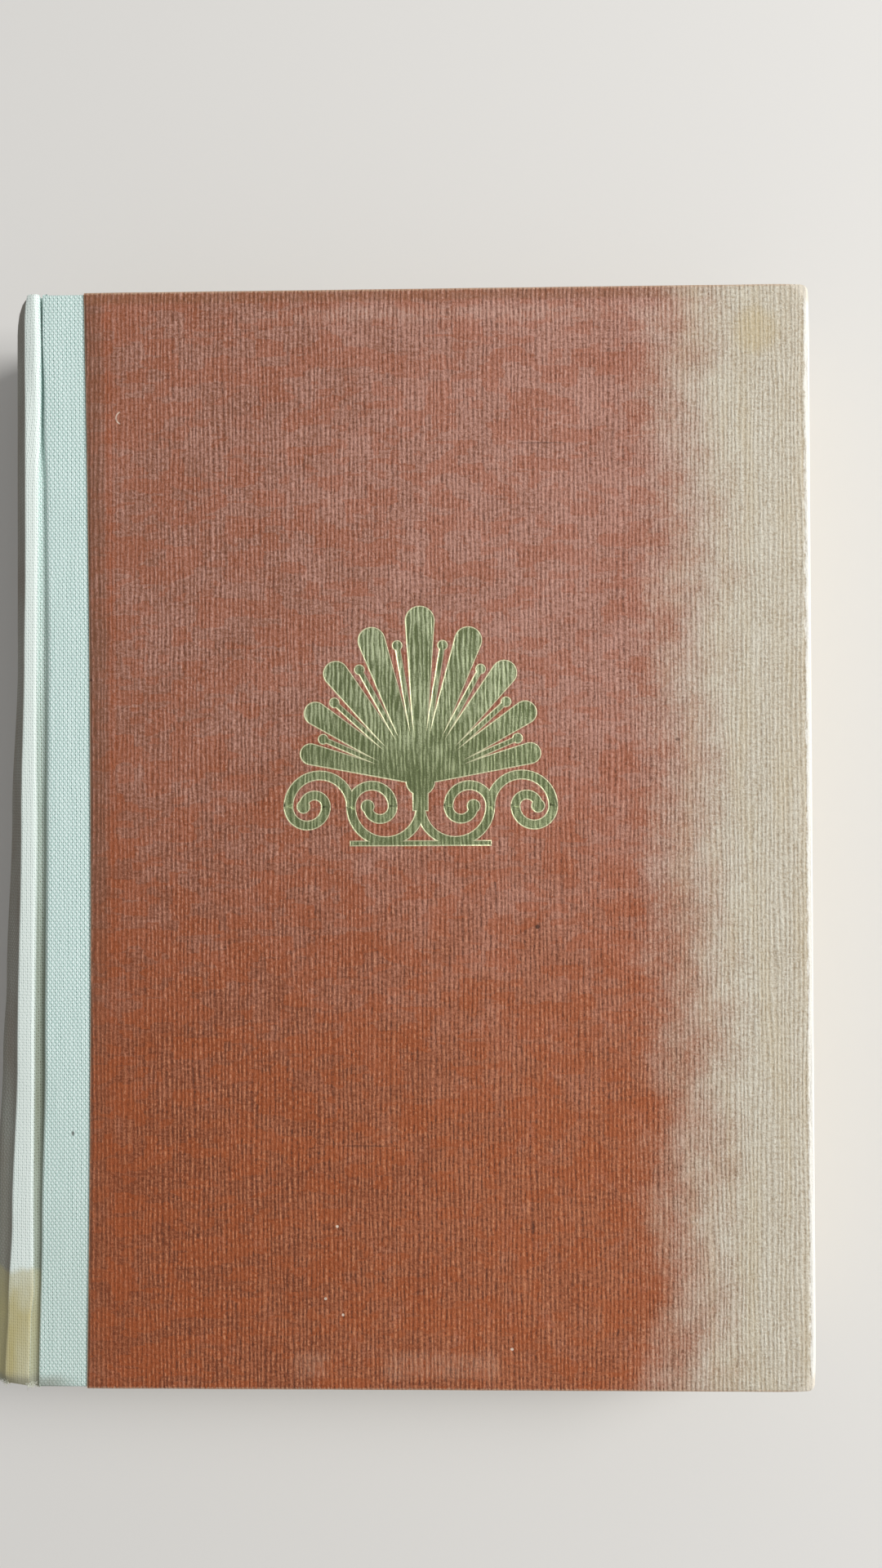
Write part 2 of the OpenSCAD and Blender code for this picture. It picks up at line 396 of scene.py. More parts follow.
def set_in_place(mesh: bmesh.types.BMesh, name: str, side: Side) -> bpy.types.Object:
    """Turns a mesh in section millimetres into an object in its place, in metres.

    Args:
        mesh: The mesh, which is freed.
        name: The piece's name.
        side: The side that it belongs to. The back is mirrored.

    Returns:
        The piece.
    """
    place = (
        Matrix.Scale(MM, 4)
        @ Matrix.Translation((SECTION.hinge_x, 0, SECTION.middle_z))
        @ Matrix.Diagonal((1, 1, side.value, 1))
    )
    bmesh.ops.transform(mesh, matrix=place, verts=mesh.verts)
    if side is Side.BACK:
        bmesh.ops.reverse_faces(mesh, faces=mesh.faces)
    return stand_mesh(mesh, name)


def make_piece(
    mesh: bmesh.types.BMesh, name: str, side: Side, crisp: float, material: bpy.types.Material
) -> bpy.types.Object:
    """Turns a mesh in section millimetres into a shaded piece with its material.

    Args:
        mesh: The mesh, which is freed.
        name: The piece's name.
        side: The side that it belongs to.
        crisp: The angle in degrees past which an edge stays crisp.
        material: The material.

    Returns:
        The piece.
    """
    piece = set_in_place(mesh, name, side)
    shade(piece, crisp)
    piece.data.materials.append(material)
    return piece


def whole(mesh: bmesh.types.BMesh) -> list[Any]:
    """All points, edges and faces of a mesh."""
    return [*mesh.verts, *mesh.edges, *mesh.faces]


def attached(verts: list[bmesh.types.BMVert]) -> list[Any]:
    """Some points with every face that they carry, and its edges.

    Args:
        verts: The points.

    Returns:
        The points, edges and faces.
    """
    faces = dict.fromkeys(face for vert in verts for face in vert.link_faces)
    edges = dict.fromkeys(edge for face in faces for edge in face.edges)
    return [*verts, *edges, *faces]


def slice_mesh(mesh: bmesh.types.BMesh, where: Vector, normal: Vector) -> None:
    """Cuts a mesh along a plane and keeps both sides.

    Args:
        mesh: The mesh.
        where: A point of the plane.
        normal: The plane's normal.
    """
    bmesh.ops.bisect_plane(mesh, geom=whole(mesh), dist=0.0005, plane_co=where, plane_no=normal)


def round_edges(mesh: bmesh.types.BMesh, edges: list[Any], radius: float, segments: int) -> None:
    """Rounds edges.

    Args:
        mesh: The mesh.
        edges: The edges.
        radius: Their radius.
        segments: The number of steps round each.
    """
    bmesh.ops.bevel(
        mesh,
        geom=edges,
        offset=radius,
        offset_type="OFFSET",
        segments=segments,
        profile=0.5,
        affect="EDGES",
        material=-1,
        clamp_overlap=True,
    )


def box_mesh(low: Vector, high: Vector) -> bmesh.types.BMesh:
    """A box between its lowest and its highest corner.

    Args:
        low: The lowest corner.
        high: The highest corner.

    Returns:
        The box's mesh.
    """
    mesh = bmesh.new()
    bmesh.ops.create_cube(mesh, size=1.0)
    bmesh.ops.scale(mesh, vec=high - low, verts=mesh.verts)
    bmesh.ops.translate(mesh, vec=(low + high) / 2, verts=mesh.verts)
    return mesh


def face_out(mesh: bmesh.types.BMesh, far: Callable[[Vector], float], outwards: Vector) -> None:
    """Turns a sheet's faces so that they look outwards.

    Args:
        mesh: The sheet.
        far: How far a place is from the face that decides.
        outwards: Where that face looks.
    """
    bmesh.ops.recalc_face_normals(mesh, faces=mesh.faces)
    judge = min(mesh.faces, key=lambda face: far(face.calc_center_median()))
    if judge.normal.dot(outwards) < 0:
        bmesh.ops.reverse_faces(mesh, faces=mesh.faces)


def draw_out(mesh: bmesh.types.BMesh, end: bmesh.types.BMFace, first: bool) -> bmesh.types.BMFace:
    """Extrudes the end of a solid.

    Args:
        mesh: The mesh that the solid belongs to.
        end: The face at the solid's end.
        first: Whether that face is its other end too, and stays.

    Returns:
        The new end, which lies where the old one was.
    """
    geom = [end, *end.edges, *end.verts]
    made = bmesh.ops.extrude_face_region(mesh, geom=geom, use_keep_orig=first)
    return next(item for item in made["geom"] if isinstance(item, bmesh.types.BMFace))


def shade(piece: bpy.types.Object, angle: float = 35.0) -> None:
    """Shades a piece smooth, with its sharper edges left crisp.

    Args:
        piece: The piece.
        angle: The angle in degrees past which an edge stays crisp.
    """
    piece.data.shade_smooth()
    piece.data.set_sharp_from_angle(angle=math.radians(angle))


def thicken(piece: bpy.types.Object, thickness: float) -> None:
    """Gives a sheet its thickness, inwards from its face.

    Args:
        piece: The sheet.
        thickness: The thickness in millimetres.
    """
    solid = piece.modifiers.new("thickness", "SOLIDIFY")
    solid.thickness = thickness * MM
    solid.offset = -1.0
    solid.use_even_offset = False


class Wire:
    """A shader socket. Each operator on it adds the Math node that it stands for."""

    def __init__(self, desk: "Desk", socket: bpy.types.NodeSocket) -> None:
        """Holds a socket and the desk that its node stands on."""
        self.desk = desk
        self.socket = socket

    def _math(self, operation: str, *values: Any) -> "Wire":
        """Adds a Math node over the given values."""
        node = self.desk.node("ShaderNodeMath", {"operation": operation}, dict(enumerate(values)))
        return Wire(self.desk, node.outputs[0])

    def __add__(self, other: Any) -> "Wire":
        """Adds a value."""
        return self._math("ADD", self, other)

    def __radd__(self, other: Any) -> "Wire":
        """Is added to a value."""
        return self._math("ADD", other, self)

    def __sub__(self, other: Any) -> "Wire":
        """Takes a value away."""
        return self._math("SUBTRACT", self, other)

    def __rsub__(self, other: Any) -> "Wire":
        """Is taken away from a value."""
        return self._math("SUBTRACT", other, self)

    def __mul__(self, other: Any) -> "Wire":
        """Multiplies by a value."""
        return self._math("MULTIPLY", self, other)

    def __rmul__(self, other: Any) -> "Wire":
        """Is multiplied by a value."""
        return self._math("MULTIPLY", other, self)

    def __truediv__(self, other: Any) -> "Wire":
        """Divides by a value."""
        return self._math("DIVIDE", self, other)

    def __pow__(self, other: Any) -> "Wire":
        """Raises to a power."""
        return self._math("POWER", self, other)

    def sine(self) -> "Wire":
        """The sine of the value."""
        return self._math("SINE", self)

    def size(self) -> "Wire":
        """The value without its sign."""
        return self._math("ABSOLUTE", self)

    def wave(self, period: float) -> "Wire":
        """A wave of 0 to 1 over the value."""
        return (self * (TAU / period)).sine() * 0.5 + 0.5

    def most(self, other: Any) -> "Wire":
        """The larger of two values."""
        return self._math("MAXIMUM", self, other)

    def rise(self, low: float, high: float) -> "Wire":
        """A smooth step over the value.

        Args:
            low: Where it is still 0.
            high: Where it has reached 1, which may be below the other.

        Returns:
            The step, 0 to 1.
        """
        backwards = high < low
        node = self.desk.node(
            "ShaderNodeMapRange",
            {"interpolation_type": "SMOOTHSTEP"},
            {
                "Value": self,
                "From Min": min(low, high),
                "From Max": max(low, high),
                "To Min": 1.0 if backwards else 0.0,
                "To Max": 0.0 if backwards else 1.0,
            },
        )
        return Wire(self.desk, node.outputs["Result"])

    def band(self, low: float, high: float, soft: float) -> "Wire":
        """1 between low and high and 0 outside, over soft edges."""
        return self.rise(low - soft, low + soft) * self.rise(high + soft, high - soft)


class Desk:
    """One material's node tree, with a method for each way that its nodes are laid."""

    def __init__(self, name: str) -> None:
        """Starts an empty material of that name."""
        self.material = bpy.data.materials.new(name)
        self.material.use_nodes = True
        self.tree = self.material.node_tree
        self.tree.nodes.clear()

    def node(self, kind: str, settings: dict[str, Any], sockets: dict[Any, Any]) -> bpy.types.Node:
        """Adds a node.

        Args:
            kind: The node's type.
            settings: Its settings, which are set first.
            sockets: Values or wires for its inputs, by name or number.

        Returns:
            The node.
        """
        made = self.tree.nodes.new(kind)
        for key, value in settings.items():
            setattr(made, key, value)
        for key, value in sockets.items():
            if isinstance(value, Wire):
                self.tree.links.new(value.socket, made.inputs[key])
            else:
                made.inputs[key].default_value = value
        return made

    def wire(self, kind: str, settings: dict[str, Any], sockets: dict[Any, Any], output: Any = 0) -> Wire:
        """Adds a node as node() does, and takes one of its outputs."""
        return Wire(self, self.node(kind, settings, sockets).outputs[output])

    def split(self, vector: Wire) -> tuple[Wire, Wire, Wire]:
        """The three parts of a vector."""
        parts = self.node("ShaderNodeSeparateXYZ", {}, {0: vector})
        return Wire(self, parts.outputs[0]), Wire(self, parts.outputs[1]), Wire(self, parts.outputs[2])

    def join(self, x: Any, y: Any, z: Any = 0.0) -> Wire:
        """A vector of three parts."""
        return self.wire("ShaderNodeCombineXYZ", {}, {0: x, 1: y, 2: z})

    def place(self) -> tuple[Wire, Wire, Wire]:
        """The place on the piece in the book's frame.

        Returns:
            X, Y and Z in millimetres.
        """
        coordinates = self.node("ShaderNodeTexCoord", {}, {})
        scaled = self.wire(
            "ShaderNodeVectorMath",
            {"operation": "SCALE"},
            {0: Wire(self, coordinates.outputs["Object"]), "Scale": 1 / MM},
        )
        return self.split(scaled)

    def attribute(self, name: str) -> tuple[Wire, Wire, Wire]:
        """The three parts of a piece's own attribute."""
        source = self.wire("ShaderNodeAttribute", {"attribute_name": name}, {}, "Vector")
        return self.split(source)

    def grain(self, x: Any, y: Any, seed: float, detail: float = 2.0, roughness: float = 0.5) -> Wire:
        """Noise over two coordinates, each in units of one grain.

        Args:
            x: Place across.
            y: Place along.
            seed: A number that picks the pattern.
            detail: How many finer layers it has.
            roughness: How strong those are.

        Returns:
            The noise, about 0 to 1.
        """
        return self.wire(
            "ShaderNodeTexNoise",
            {"noise_dimensions": "3D"},
            {"Vector": self.join(x, y, seed), "Scale": 1.0, "Detail": detail, "Roughness": roughness},
        )

    def sway(self, reach: float, x: Any, y: Any, seed: float, *grain: float) -> Wire:
        """Noise about 0 that reaches so far from peak to peak, over the arguments of grain()."""
        return (self.grain(x, y, seed, *grain) - 0.5) * reach

    def blocks(self, x: Any, y: Any, seed: float) -> Wire:
        """A random value for each of many squarish patches, each of about one unit.

        Args:
            x: Place across.
            y: Place along.
            seed: A number that picks the pattern.

        Returns:
            The value, 0 to 1.
        """
        cells = self.wire(
            "ShaderNodeTexVoronoi",
            {"voronoi_dimensions": "3D", "feature": "F1", "distance": "CHEBYCHEV"},
            {"Vector": self.join(x, y, seed), "Scale": 1.0, "Randomness": 0.75},
            "Color",
        )
        return self.split(cells)[0]

    def mix(self, factor: Any, first: Any, second: Any) -> Wire:
        """Mixes two colours by a factor."""
        settings = {"data_type": "RGBA", "blend_type": "MIX", "clamp_factor": True}
        return self.wire("ShaderNodeMix", settings, {0: factor, 6: first, 7: second}, 2)

    def coats(self, colour: Any, *layers: tuple[Any, Any]) -> Wire:
        """Lays colours over a first one.

        Args:
            colour: The first colour.
            layers: A factor and a colour for each coat, from the lowest up.

        Returns:
            The colour that shows.
        """
        for factor, coat in layers:
            colour = self.mix(factor, colour, coat)
        return colour

    def finish(
        self,
        colour: Any,
        roughness: Any,
        height: Wire | None = None,
        metallic: Any = 0.0,
        constants: dict[str, float] | None = None,
    ) -> bpy.types.Material:
        """Ends the material in its shader.

        Args:
            colour: The base colour.
            roughness: The roughness.
            height: The relief in millimetres, or None for a plain surface.
            metallic: How much of a metal it is.
            constants: Values of other sockets of the shader.

        Returns:
            The material.
        """
        sockets: dict[Any, Any] = {"Base Color": colour, "Roughness": roughness, "Metallic": metallic}
        sockets.update(constants or {})
        if height is not None:
            sockets["Normal"] = self.wire("ShaderNodeBump", {}, {"Distance": MM, "Height": height}, "Normal")
        shader = self.wire("ShaderNodeBsdfPrincipled", {}, sockets)
        self.node("ShaderNodeOutputMaterial", {}, {"Surface": shader})
        return self.material


@dataclass(frozen=True)
class ClothFinish:
    """Pale plain-weave book cloth, stained at its tail, with grime and painted shade in the groove, paler
    over the shoulder's crest, and painted shade with a painted red-brown reflection on the spine's flank.
    """

    thread_x: float = 0.464
    thread_y: float = 0.62
    pale: Colour = srgb(236, 255, 251)
    thread_shade: Colour = srgb(184, 214, 207)
    uneven_pale: Colour = srgb(200, 224, 217)
    fluff: Colour = srgb(250, 255, 252)
    gap: Colour = srgb(156, 188, 181)
    pinhole: Colour = srgb(92, 124, 117)
    # Paler colour over the shoulder's crest.
    crest_pale: Colour = srgb(248, 255, 248)
    # Groove colours: grime with painted shade of the groove.
    groove_grime_and_shade_colour: Colour = srgb(136, 144, 127)
    groove_hole_grime_and_shade: Colour = srgb(84, 80, 62)
    # Painted shade for the spine's flank, browned like reflected red light.
    flank_shade_brown: Colour = srgb(112, 88, 70)
    stain: Colour = srgb(190, 176, 112)
    grey_dirt: Colour = srgb(128, 126, 112)
    low_fade: Colour = srgb(176, 186, 170)
    dark_fibre: Colour = srgb(64, 58, 50)

    def material(self, marked: bool) -> bpy.types.Material:
        """Makes the cloth's material from the attributes thread_place and wear.

        Args:
            marked: Whether the piece has the front's own stains and fibres.

        Returns:
            The material.
        """
        desk = Desk("book_cloth" if marked else "book_cloth_back")
        across, along, _ = desk.attribute("thread_place")
        # The wear attribute holds the groove's grime and painted shade, the paler crest and the painted shade
        # of the spine's flank.
        groove_grime_and_shade, crest_paling, flank = desk.attribute("wear")
        sway_x = desk.sway(1.0, across * 0.11, along * 0.04, 3.0)
        sway_y = desk.sway(0.8, across * 0.06, along * 0.1, 9.0)
        slub = desk.sway(0.34, across * 1.1, along * 0.3, 14.0, 2.0)
        turn_x = (across + sway_x + slub) * (math.pi / self.thread_x)
        turn_y = (along + sway_y + slub) * (math.pi / self.thread_y)
        over = turn_x.sine() * turn_y.sine()
        column = (turn_x + math.pi / 2).sine()
        cross_row = (turn_y + math.pi / 2).sine()
        uneven = desk.grain(across * 1.6, along * 1.1, 17.0, 2.0)
        fuzz = desk.grain(across * 4.0, along * 4.0, 21.0, 3.0, 0.65)
        tone = desk.grain(across * 0.16, along * 0.045, 31.0, 3.0)
        strand = desk.grain(across / self.thread_x, along * 0.06, 37.0, 2.0)
        float_up = (over * 0.75 + (uneven - 0.5) * 1.3 + (strand - 0.5) * 0.9).rise(-0.45, 0.4)
        spread = column.size() ** 3 * cross_row.size() ** 1.3
        lumpy = column * cross_row * 0.12 + column * 0.14 + (uneven - 0.5) * 0.7 + (fuzz - 0.5) * 0.5
        hole = (spread + lumpy).rise(0.45, 0.85)
        # Darker in the groove, more so towards the tail: grime, and painted shade of the recess.
        groove_darkening = groove_grime_and_shade * along.rise(112.0, -60.0) * (0.75 + 0.4 * tone)
        colour = desk.coats(
            self.thread_shade,
            (float_up, self.pale),
            (tone.rise(0.42, 0.72) * 0.2, self.uneven_pale),
            (turn_x.sine().size().rise(0.5, 0.05) * 0.35, self.gap),
            # Paler over the shoulder's crest.
            (crest_paling * (0.5 + 0.4 * fuzz), self.crest_pale),
            (hole * (0.95 - 0.45 * crest_paling), self.pinhole),
            (fuzz.rise(0.4, 0.66) * 0.22, self.fluff),
            # Grime and painted shade in the groove, deeper in its pinholes.
            (groove_darkening, self.groove_grime_and_shade_colour),
            (groove_darkening * hole, self.groove_hole_grime_and_shade),
            # Painted shade with a painted red-brown reflection on the spine's flank.
            (flank * (0.6 + 0.35 * tone), self.flank_shade_brown),
        )
        if marked:
            wander = desk.sway(16.0, across * 0.22, along * 0.12, 51.0, 3.0)
            low = (along + wander * 0.3).rise(-93.6, -95.6) * 0.6 + (along + wander).rise(-94.0, -106.0) * 0.4
            stain = low * crest_paling.most(flank).most(groove_grime_and_shade * 0.6)
            tail_dirt = (along + wander * 0.12).rise(-116.4, -118.8) * across.rise(8.4, 0.0)
            faded = (along + wander * 0.6).rise(-20.0, -108.0) * (1.0 - crest_paling)
            fibre = ((across - 5.6) * 2.9) ** 2 + ((along + 64.4) * 1.8) ** 2
            colour = desk.coats(
                colour,
                (stain * (0.4 + 0.75 * tone), self.stain),
                (tail_dirt * (0.4 + 0.5 * fuzz), self.grey_dirt),
                (faded * 0.2, self.low_fade),
                (fibre.rise(1.2, 0.5) * 0.7, self.dark_fibre),
            )
        relief = over.size() ** 0.5 * 0.03 - hole * 0.03 + fuzz * 0.02
        return desk.finish(colour, 0.82, relief)


@dataclass(frozen=True)
class SidePaperFinish:
    """Rust-brown ribbed side paper under a milky haze, faded to cream at the fore-edge, with painted
    highlight and shade lines along its ribs, painted light towards the right, a painted shade line at its
    edge by the cloth, and a worn white fore-edge that is partly a painted highlight.
    """

    rib: float = 0.98
    valley_high: Colour = srgb(134, 82, 56)
    valley_low: Colour = srgb(122, 58, 26)
    crest_high: Colour = srgb(194, 146, 130)
    crest_low: Colour = srgb(178, 106, 70)
    orange: Colour = srgb(164, 80, 34)
    strip: Colour = srgb(118, 76, 52)
    # Colours of a painted highlight line and a painted shade line along each rib.
    fleck: Colour = srgb(104, 54, 32)
    rib_highlight_high: Colour = srgb(216, 166, 148)
    rib_highlight_low: Colour = srgb(210, 140, 100)
    rib_highlight_cream: Colour = srgb(236, 231, 215)
    rib_shade_line: Colour = srgb(84, 44, 28)
    rib_shade_line_cream: Colour = srgb(138, 118, 94)
    milk: Colour = srgb(196, 150, 132)
    # Painted shade colour for the paper's cut edge by the cloth.
    edge_shade_colour: Colour = srgb(92, 66, 48)
    cut_pale: Colour = srgb(196, 180, 150)
    head_dark: Colour = srgb(140, 92, 62)
    head_pale: Colour = srgb(208, 176, 160)
    cream: Colour = srgb(214, 207, 190)
    cream_tint: Colour = srgb(198, 180, 146)
    tan: Colour = srgb(196, 172, 116)
    worn_end: Colour = srgb(208, 176, 148)
    worn_corner: Colour = srgb(226, 216, 198)
    cream_valley: Colour = srgb(176, 160, 136)
    # Worn white fore-edge, its near-white partly a painted highlight.
    rim: Colour = srgb(248, 245, 236)

    def material(self, side: Side) -> bpy.types.Material:
        """Makes the paper's material from the place on the book.

        Args:
            side: The cover. Only the front has the marks that the front shows.

        Returns:
            The material.
        """
        desk = Desk(f"{side.word}_side_paper")
        seed = 0.0 if side is Side.FRONT else 57.0
        x, y, _ = desk.place()
        drift = desk.sway(2.2, x * 0.25, y * 0.025, seed + 1.0)
        wobble = desk.sway(0.62, x * 0.9, y * 0.3, seed + 2.0, 3.0, 0.6)
        wave = (x + drift + wobble).wave(self.rib)
        # ridge: a painted highlight line on each rib's crest; furrow: a painted shade line in its valley.
        ridge = wave**3 * desk.grain(x * 1.0, y * 1.1, seed + 17.0, 3.0, 0.75).rise(0.4, 0.62)
        rib_shade_line = (1.0 - wave) ** 4 * desk.grain(x * 1.0, y * 0.9, seed + 18.0, 3.0, 0.75).rise(0.36, 0.6)
        strand = desk.grain(x * 2.2, y * 0.3, seed + 3.0, 2.0, 0.6).rise(0.3, 0.7)
        broken = desk.grain(x * 0.9, y * 0.5, seed + 4.0, 3.0, 0.7).rise(0.36, 0.58)
        zone = desk.grain(x * 0.07, y * 0.05, seed + 5.0, 2.0).rise(0.36, 0.62)
        ribs = wave**1.5 * (broken * 0.7 + 0.12) * (zone * 0.6 + 0.3) + strand * 0.38
        cross = desk.grain(x * 0.8, y * 1.7, seed + 6.0, 3.0, 0.7)
        speck = desk.grain(x * 2.9, y * 2.3, seed + 7.0, 4.0, 0.8)
        patch = desk.grain(x * 0.12, y * 0.1, seed + 8.0, 3.0, 0.6)
        sideways = desk.sway(1.2, x * 0.5, y * 0.5, seed + 9.0)
        block = desk.blocks(x * 0.16 + sideways * 0.25, y * 0.3 + sideways * 0.2, seed + 10.0)
        small_block = desk.blocks(x * 0.34 + sideways * 0.2, y * 0.62 + sideways * 0.3, seed + 11.0)
        calm = desk.grain(x * 0.3, y * 0.35, seed + 19.0, 3.0, 0.65).rise(0.34, 0.58) * 0.6 + 0.4
        lean = LEANS[side]
        inland = x - lean.edge - lean.warp + y * y * (lean.warp / lean.board_half**2)

        lower = (y + (patch - 0.5) * 70.0).rise(46.0, -70.0)
        # Painted light: the paper brighter towards the right.
        painted_light_right = (x + (patch - 0.5) * 40.0).rise(-50.0, 40.0)
        bare = block.rise(0.6, 0.7).most(small_block.rise(0.74, 0.8) * 0.8) * (0.4 + 0.6 * cross)
        # Milky haze of the paper, brightened towards the right by painted light.
        haze_and_painted_light = ribs * 0.4 + (cross - 0.5) * 1.7 + (speck - 0.5) * 2.2
        haze_and_painted_light = haze_and_painted_light + (patch - 0.5) * 0.5 + painted_light_right * 0.24 + 0.24
        fleck = desk.grain(x * 1.5, y * 2.2, seed + 16.0, 3.0, 0.7).rise(0.56, 0.7)
        milky = desk.grain(x * 0.2, y * 0.14, seed + 12.0, 3.0, 0.65).rise(0.5, 0.76)
        upper = y.rise(-70.0, 10.0) * 0.7 + 0.3
        near_cloth = (inland + sideways * 1.2 + (patch - 0.5) * 2.0).rise(-62.8, -67.0)
        streak = (inland + sideways * 0.5).band(-64.4, -62.9, 0.7)
        # Painted shade line along the paper's cut edge by the cloth.
        edge_painted_shade = (inland + (speck - 0.5) * 0.7).rise(-67.7, -68.35)
        raw_edge = (inland + (speck - 0.5) * 0.25).rise(-68.35, -68.5)
        head_band = (y + sideways * 0.4).rise(116.9, 118.0)
        head_haze = (y + sideways * 0.8).band(112.9, 116.0, 0.9) * x.rise(-44.0, -8.0)
        rust = desk.coats(
            desk.mix(lower, self.valley_high, self.valley_low),
            (haze_and_painted_light.rise(-0.05, 1.1), desk.mix(lower, self.crest_high, self.crest_low)),
            (fleck * 0.4, self.fleck),
            (bare * (0.5 + 0.3 * lower), self.orange),
            (milky * haze_and_painted_light.rise(0.2, 0.9) * 0.25, self.milk),
            (near_cloth * (0.25 + 0.5 * (1.0 - ribs)) * upper, self.strip),
            (streak * (0.1 + 0.5 * patch) * upper, self.orange),
            # Painted shade along the paper's edge by the cloth.
            (edge_painted_shade * 0.65, self.edge_shade_colour),
            (raw_edge * 0.5, self.cut_pale),
            (head_band * 0.6, self.head_dark),
            (head_haze * ribs * 0.55, self.head_pale),
        )

        ragged = desk.sway(4.0, x * 0.9, y * 0.16, seed + 13.0, 2.0) + (patch - 0.5) * 16.0
        tide = desk.sway(12.0, x * 0.02, y * 0.045, seed + 14.0, 2.0)
        faded = (x + ragged + tide + (ridge - rib_shade_line) * 2.0 + (speck - 0.5) * 12.0).rise(49.0, 77.0)
        tint = desk.grain(x * 0.22, y * 0.03, seed + 15.0, 2.0).rise(0.42, 0.68)
        cream = desk.coats(
            self.cream_valley, (haze_and_painted_light.rise(0.1, 0.95), self.cream), (tint * 0.35, self.cream_tint)
        )
        rib_highlight = desk.mix(faded, desk.mix(lower, self.rib_highlight_high, self.rib_highlight_low), self.rib_highlight_cream)
        beside_cloth = (inland + (patch - 0.5) * 16.0).rise(-50.0, -62.0)
        # How strongly the ribs' painted highlight and shade lines show.
        depth = (0.8 + 0.2 * lower) * (1.0 - 0.3 * faded) * (1.0 - 0.45 * beside_cloth) * calm
        tan = ((x - 77.8) ** 2 + (y - 110.0) ** 2).rise(40.0, 4.0)
        nibble = (speck - 0.5) * 1.0 + (strand - 0.5) * 0.5
        colour = desk.coats(
            rust,
            (faded, cream),
            # Painted highlight and painted shade lines along the ribs.
            (ridge * 0.9 * depth, rib_highlight),
            (rib_shade_line * 0.9 * depth, desk.mix(faded, self.rib_shade_line, self.rib_shade_line_cream)),
            (tan * 0.3, self.tan),
            # Worn white fore-edge rim, partly a painted highlight.
            ((x + nibble).rise(87.9, 88.5) * 0.9, self.rim),
            ((y.size() + nibble * 0.8).rise(119.5, 119.9) * 0.55, self.worn_end),
            ((x + y.size() + nibble * 3.0).rise(204.0, 206.2) * 0.8, self.worn_corner),
        )
        if side is Side.FRONT:
            colour = self.marked(desk, colour, x, y, speck, ribs)
        relief = ridge * 0.06 - rib_shade_line * 0.05 + ribs * 0.03 + cross * 0.13 + speck * 0.08 - fleck * 0.03
        rough = 0.62 + 0.2 * speck
        return desk.finish(colour, rough, relief, constants={"Specular IOR Level": 0.35})

    @staticmethod
    def marked(desk: Desk, colour: Wire, x: Wire, y: Wire, speck: Wire, ribs: Wire) -> Wire:
        """Lays the front's scratches, dots and abraded patches over its colour.

        Args:
            desk: The material's desk.
            colour: The colour so far.
            x: Place across, in millimetres.
            y: Place along, in millimetres.
            speck: The paper's fine grain.
            ribs: The paper's ribs.

        Returns:
            The colour with its marks.
        """
        dark = srgb(70, 38, 24)
        pale = srgb(228, 208, 190)
        spots = (
            (29.8, -19.4, 0.5, 0.45, dark, 0.9),
            (60.4, 21.2, 0.5, 0.35, dark, 0.6),
            (-14.1, -84.5, 0.3, 0.3, pale, 0.9),
            (-16.7, -100.2, 0.32, 0.3, pale, 0.9),
            (-12.9, -103.7, 0.3, 0.3, pale, 0.8),
            (23.8, -111.0, 0.34, 0.3, pale, 0.8),
            (31.2, 86.0, 5.3, 0.16, dark, 0.45),
            (-7.1, -67.0, 6.6, 0.14, dark, 0.45),
            (-67.7, 34.9, 0.35, 0.3, dark, 0.7),
        )
        for spot_x, spot_y, long_x, long_y, tint, strength in spots:
            reach = ((x - spot_x) * (1 / long_x)) ** 2 + ((y - spot_y) * (1 / long_y)) ** 2
            colour = desk.mix((reach + (speck - 0.5)).rise(1.3, 0.7) * strength, colour, tint)
        curve = ((x + 60.6) ** 2 + (y - 92.4) ** 2) ** 0.5
        scratch = curve.band(1.25, 1.5, 0.1) * x.rise(-60.9, -61.4)
        colour = desk.mix(scratch * 0.85, colour, pale)
        for low, high in ((-23.4, -16.4), (-4.0, 20.6)):
            worn = x.band(low, high, 1.6) * (y + (speck - 0.5) * 2.0).band(-117.4, -112.0, 1.2)
            colour = desk.mix(worn * ribs * 0.55, colour, srgb(206, 168, 142))
        return colour


@dataclass(frozen=True)
class GiltFinish:
    """Pale greenish gold foil, stamped over the paper's ribs, with painted sheen over the ribs and a painted
    highlight on the walls of its sunk ground.
    """

    rib: float = 0.98
    depth: float = 0.24
    light: Colour = srgb(200, 208, 168)
    light_low: Colour = srgb(160, 168, 124)
    deep: Colour = srgb(104, 114, 74)
    # Painted highlight colour for the walls of the sunk ground.
    edge: Colour = srgb(236, 232, 190)

    def material(self) -> bpy.types.Material:
        """Makes the foil's material from the place on the book.

        Returns:
            The material.
        """
        desk = Desk("gilt_foil")
        x, y, z = desk.place()
        drift = desk.sway(2.6, x * 0.3, y * 0.06, 1.0)
        wave = (x + drift).wave(self.rib)
        strand = desk.grain(x * 2.1, y * 0.3, 3.0, 2.0, 0.6).rise(0.3, 0.7)
        cross = desk.grain(x * 1.2, y * 2.2, 6.0, 2.0, 0.6)
        speck = desk.grain(x * 4.5, y * 4.5, 7.0, 3.0, 0.75)
        cloud = desk.grain(x * 0.12, y * 0.12, 17.0, 3.0)
        ribs = wave * 0.4 + strand * 0.35 + cross * 0.3
        # Painted sheen on the foil over the paper's ribs.
        painted_sheen = (ribs + (speck - 0.5) * 1.3 + (cloud - 0.5) * 0.8).rise(0.3, 0.95)
        lower = (y + (cloud - 0.5) * 20.0).rise(40.0, 8.0)
        ground = SECTION.middle_z + SECTION.face_z - self.depth
        # Painted highlight on the walls of the sunk ground.
        rim = (z + (speck - 0.5) * 0.06).rise(ground + 0.04, ground + 0.09)
        colour = desk.coats(
            self.deep, (painted_sheen, desk.mix(lower * 0.8, self.light, self.light_low)), (rim * 0.9, self.edge)
        )
        relief = ribs * 0.07 + cross * 0.05 + speck * 0.05
        rough = 0.34 + 0.2 * speck
        return desk.finish(colour, rough, relief, metallic=0.55)


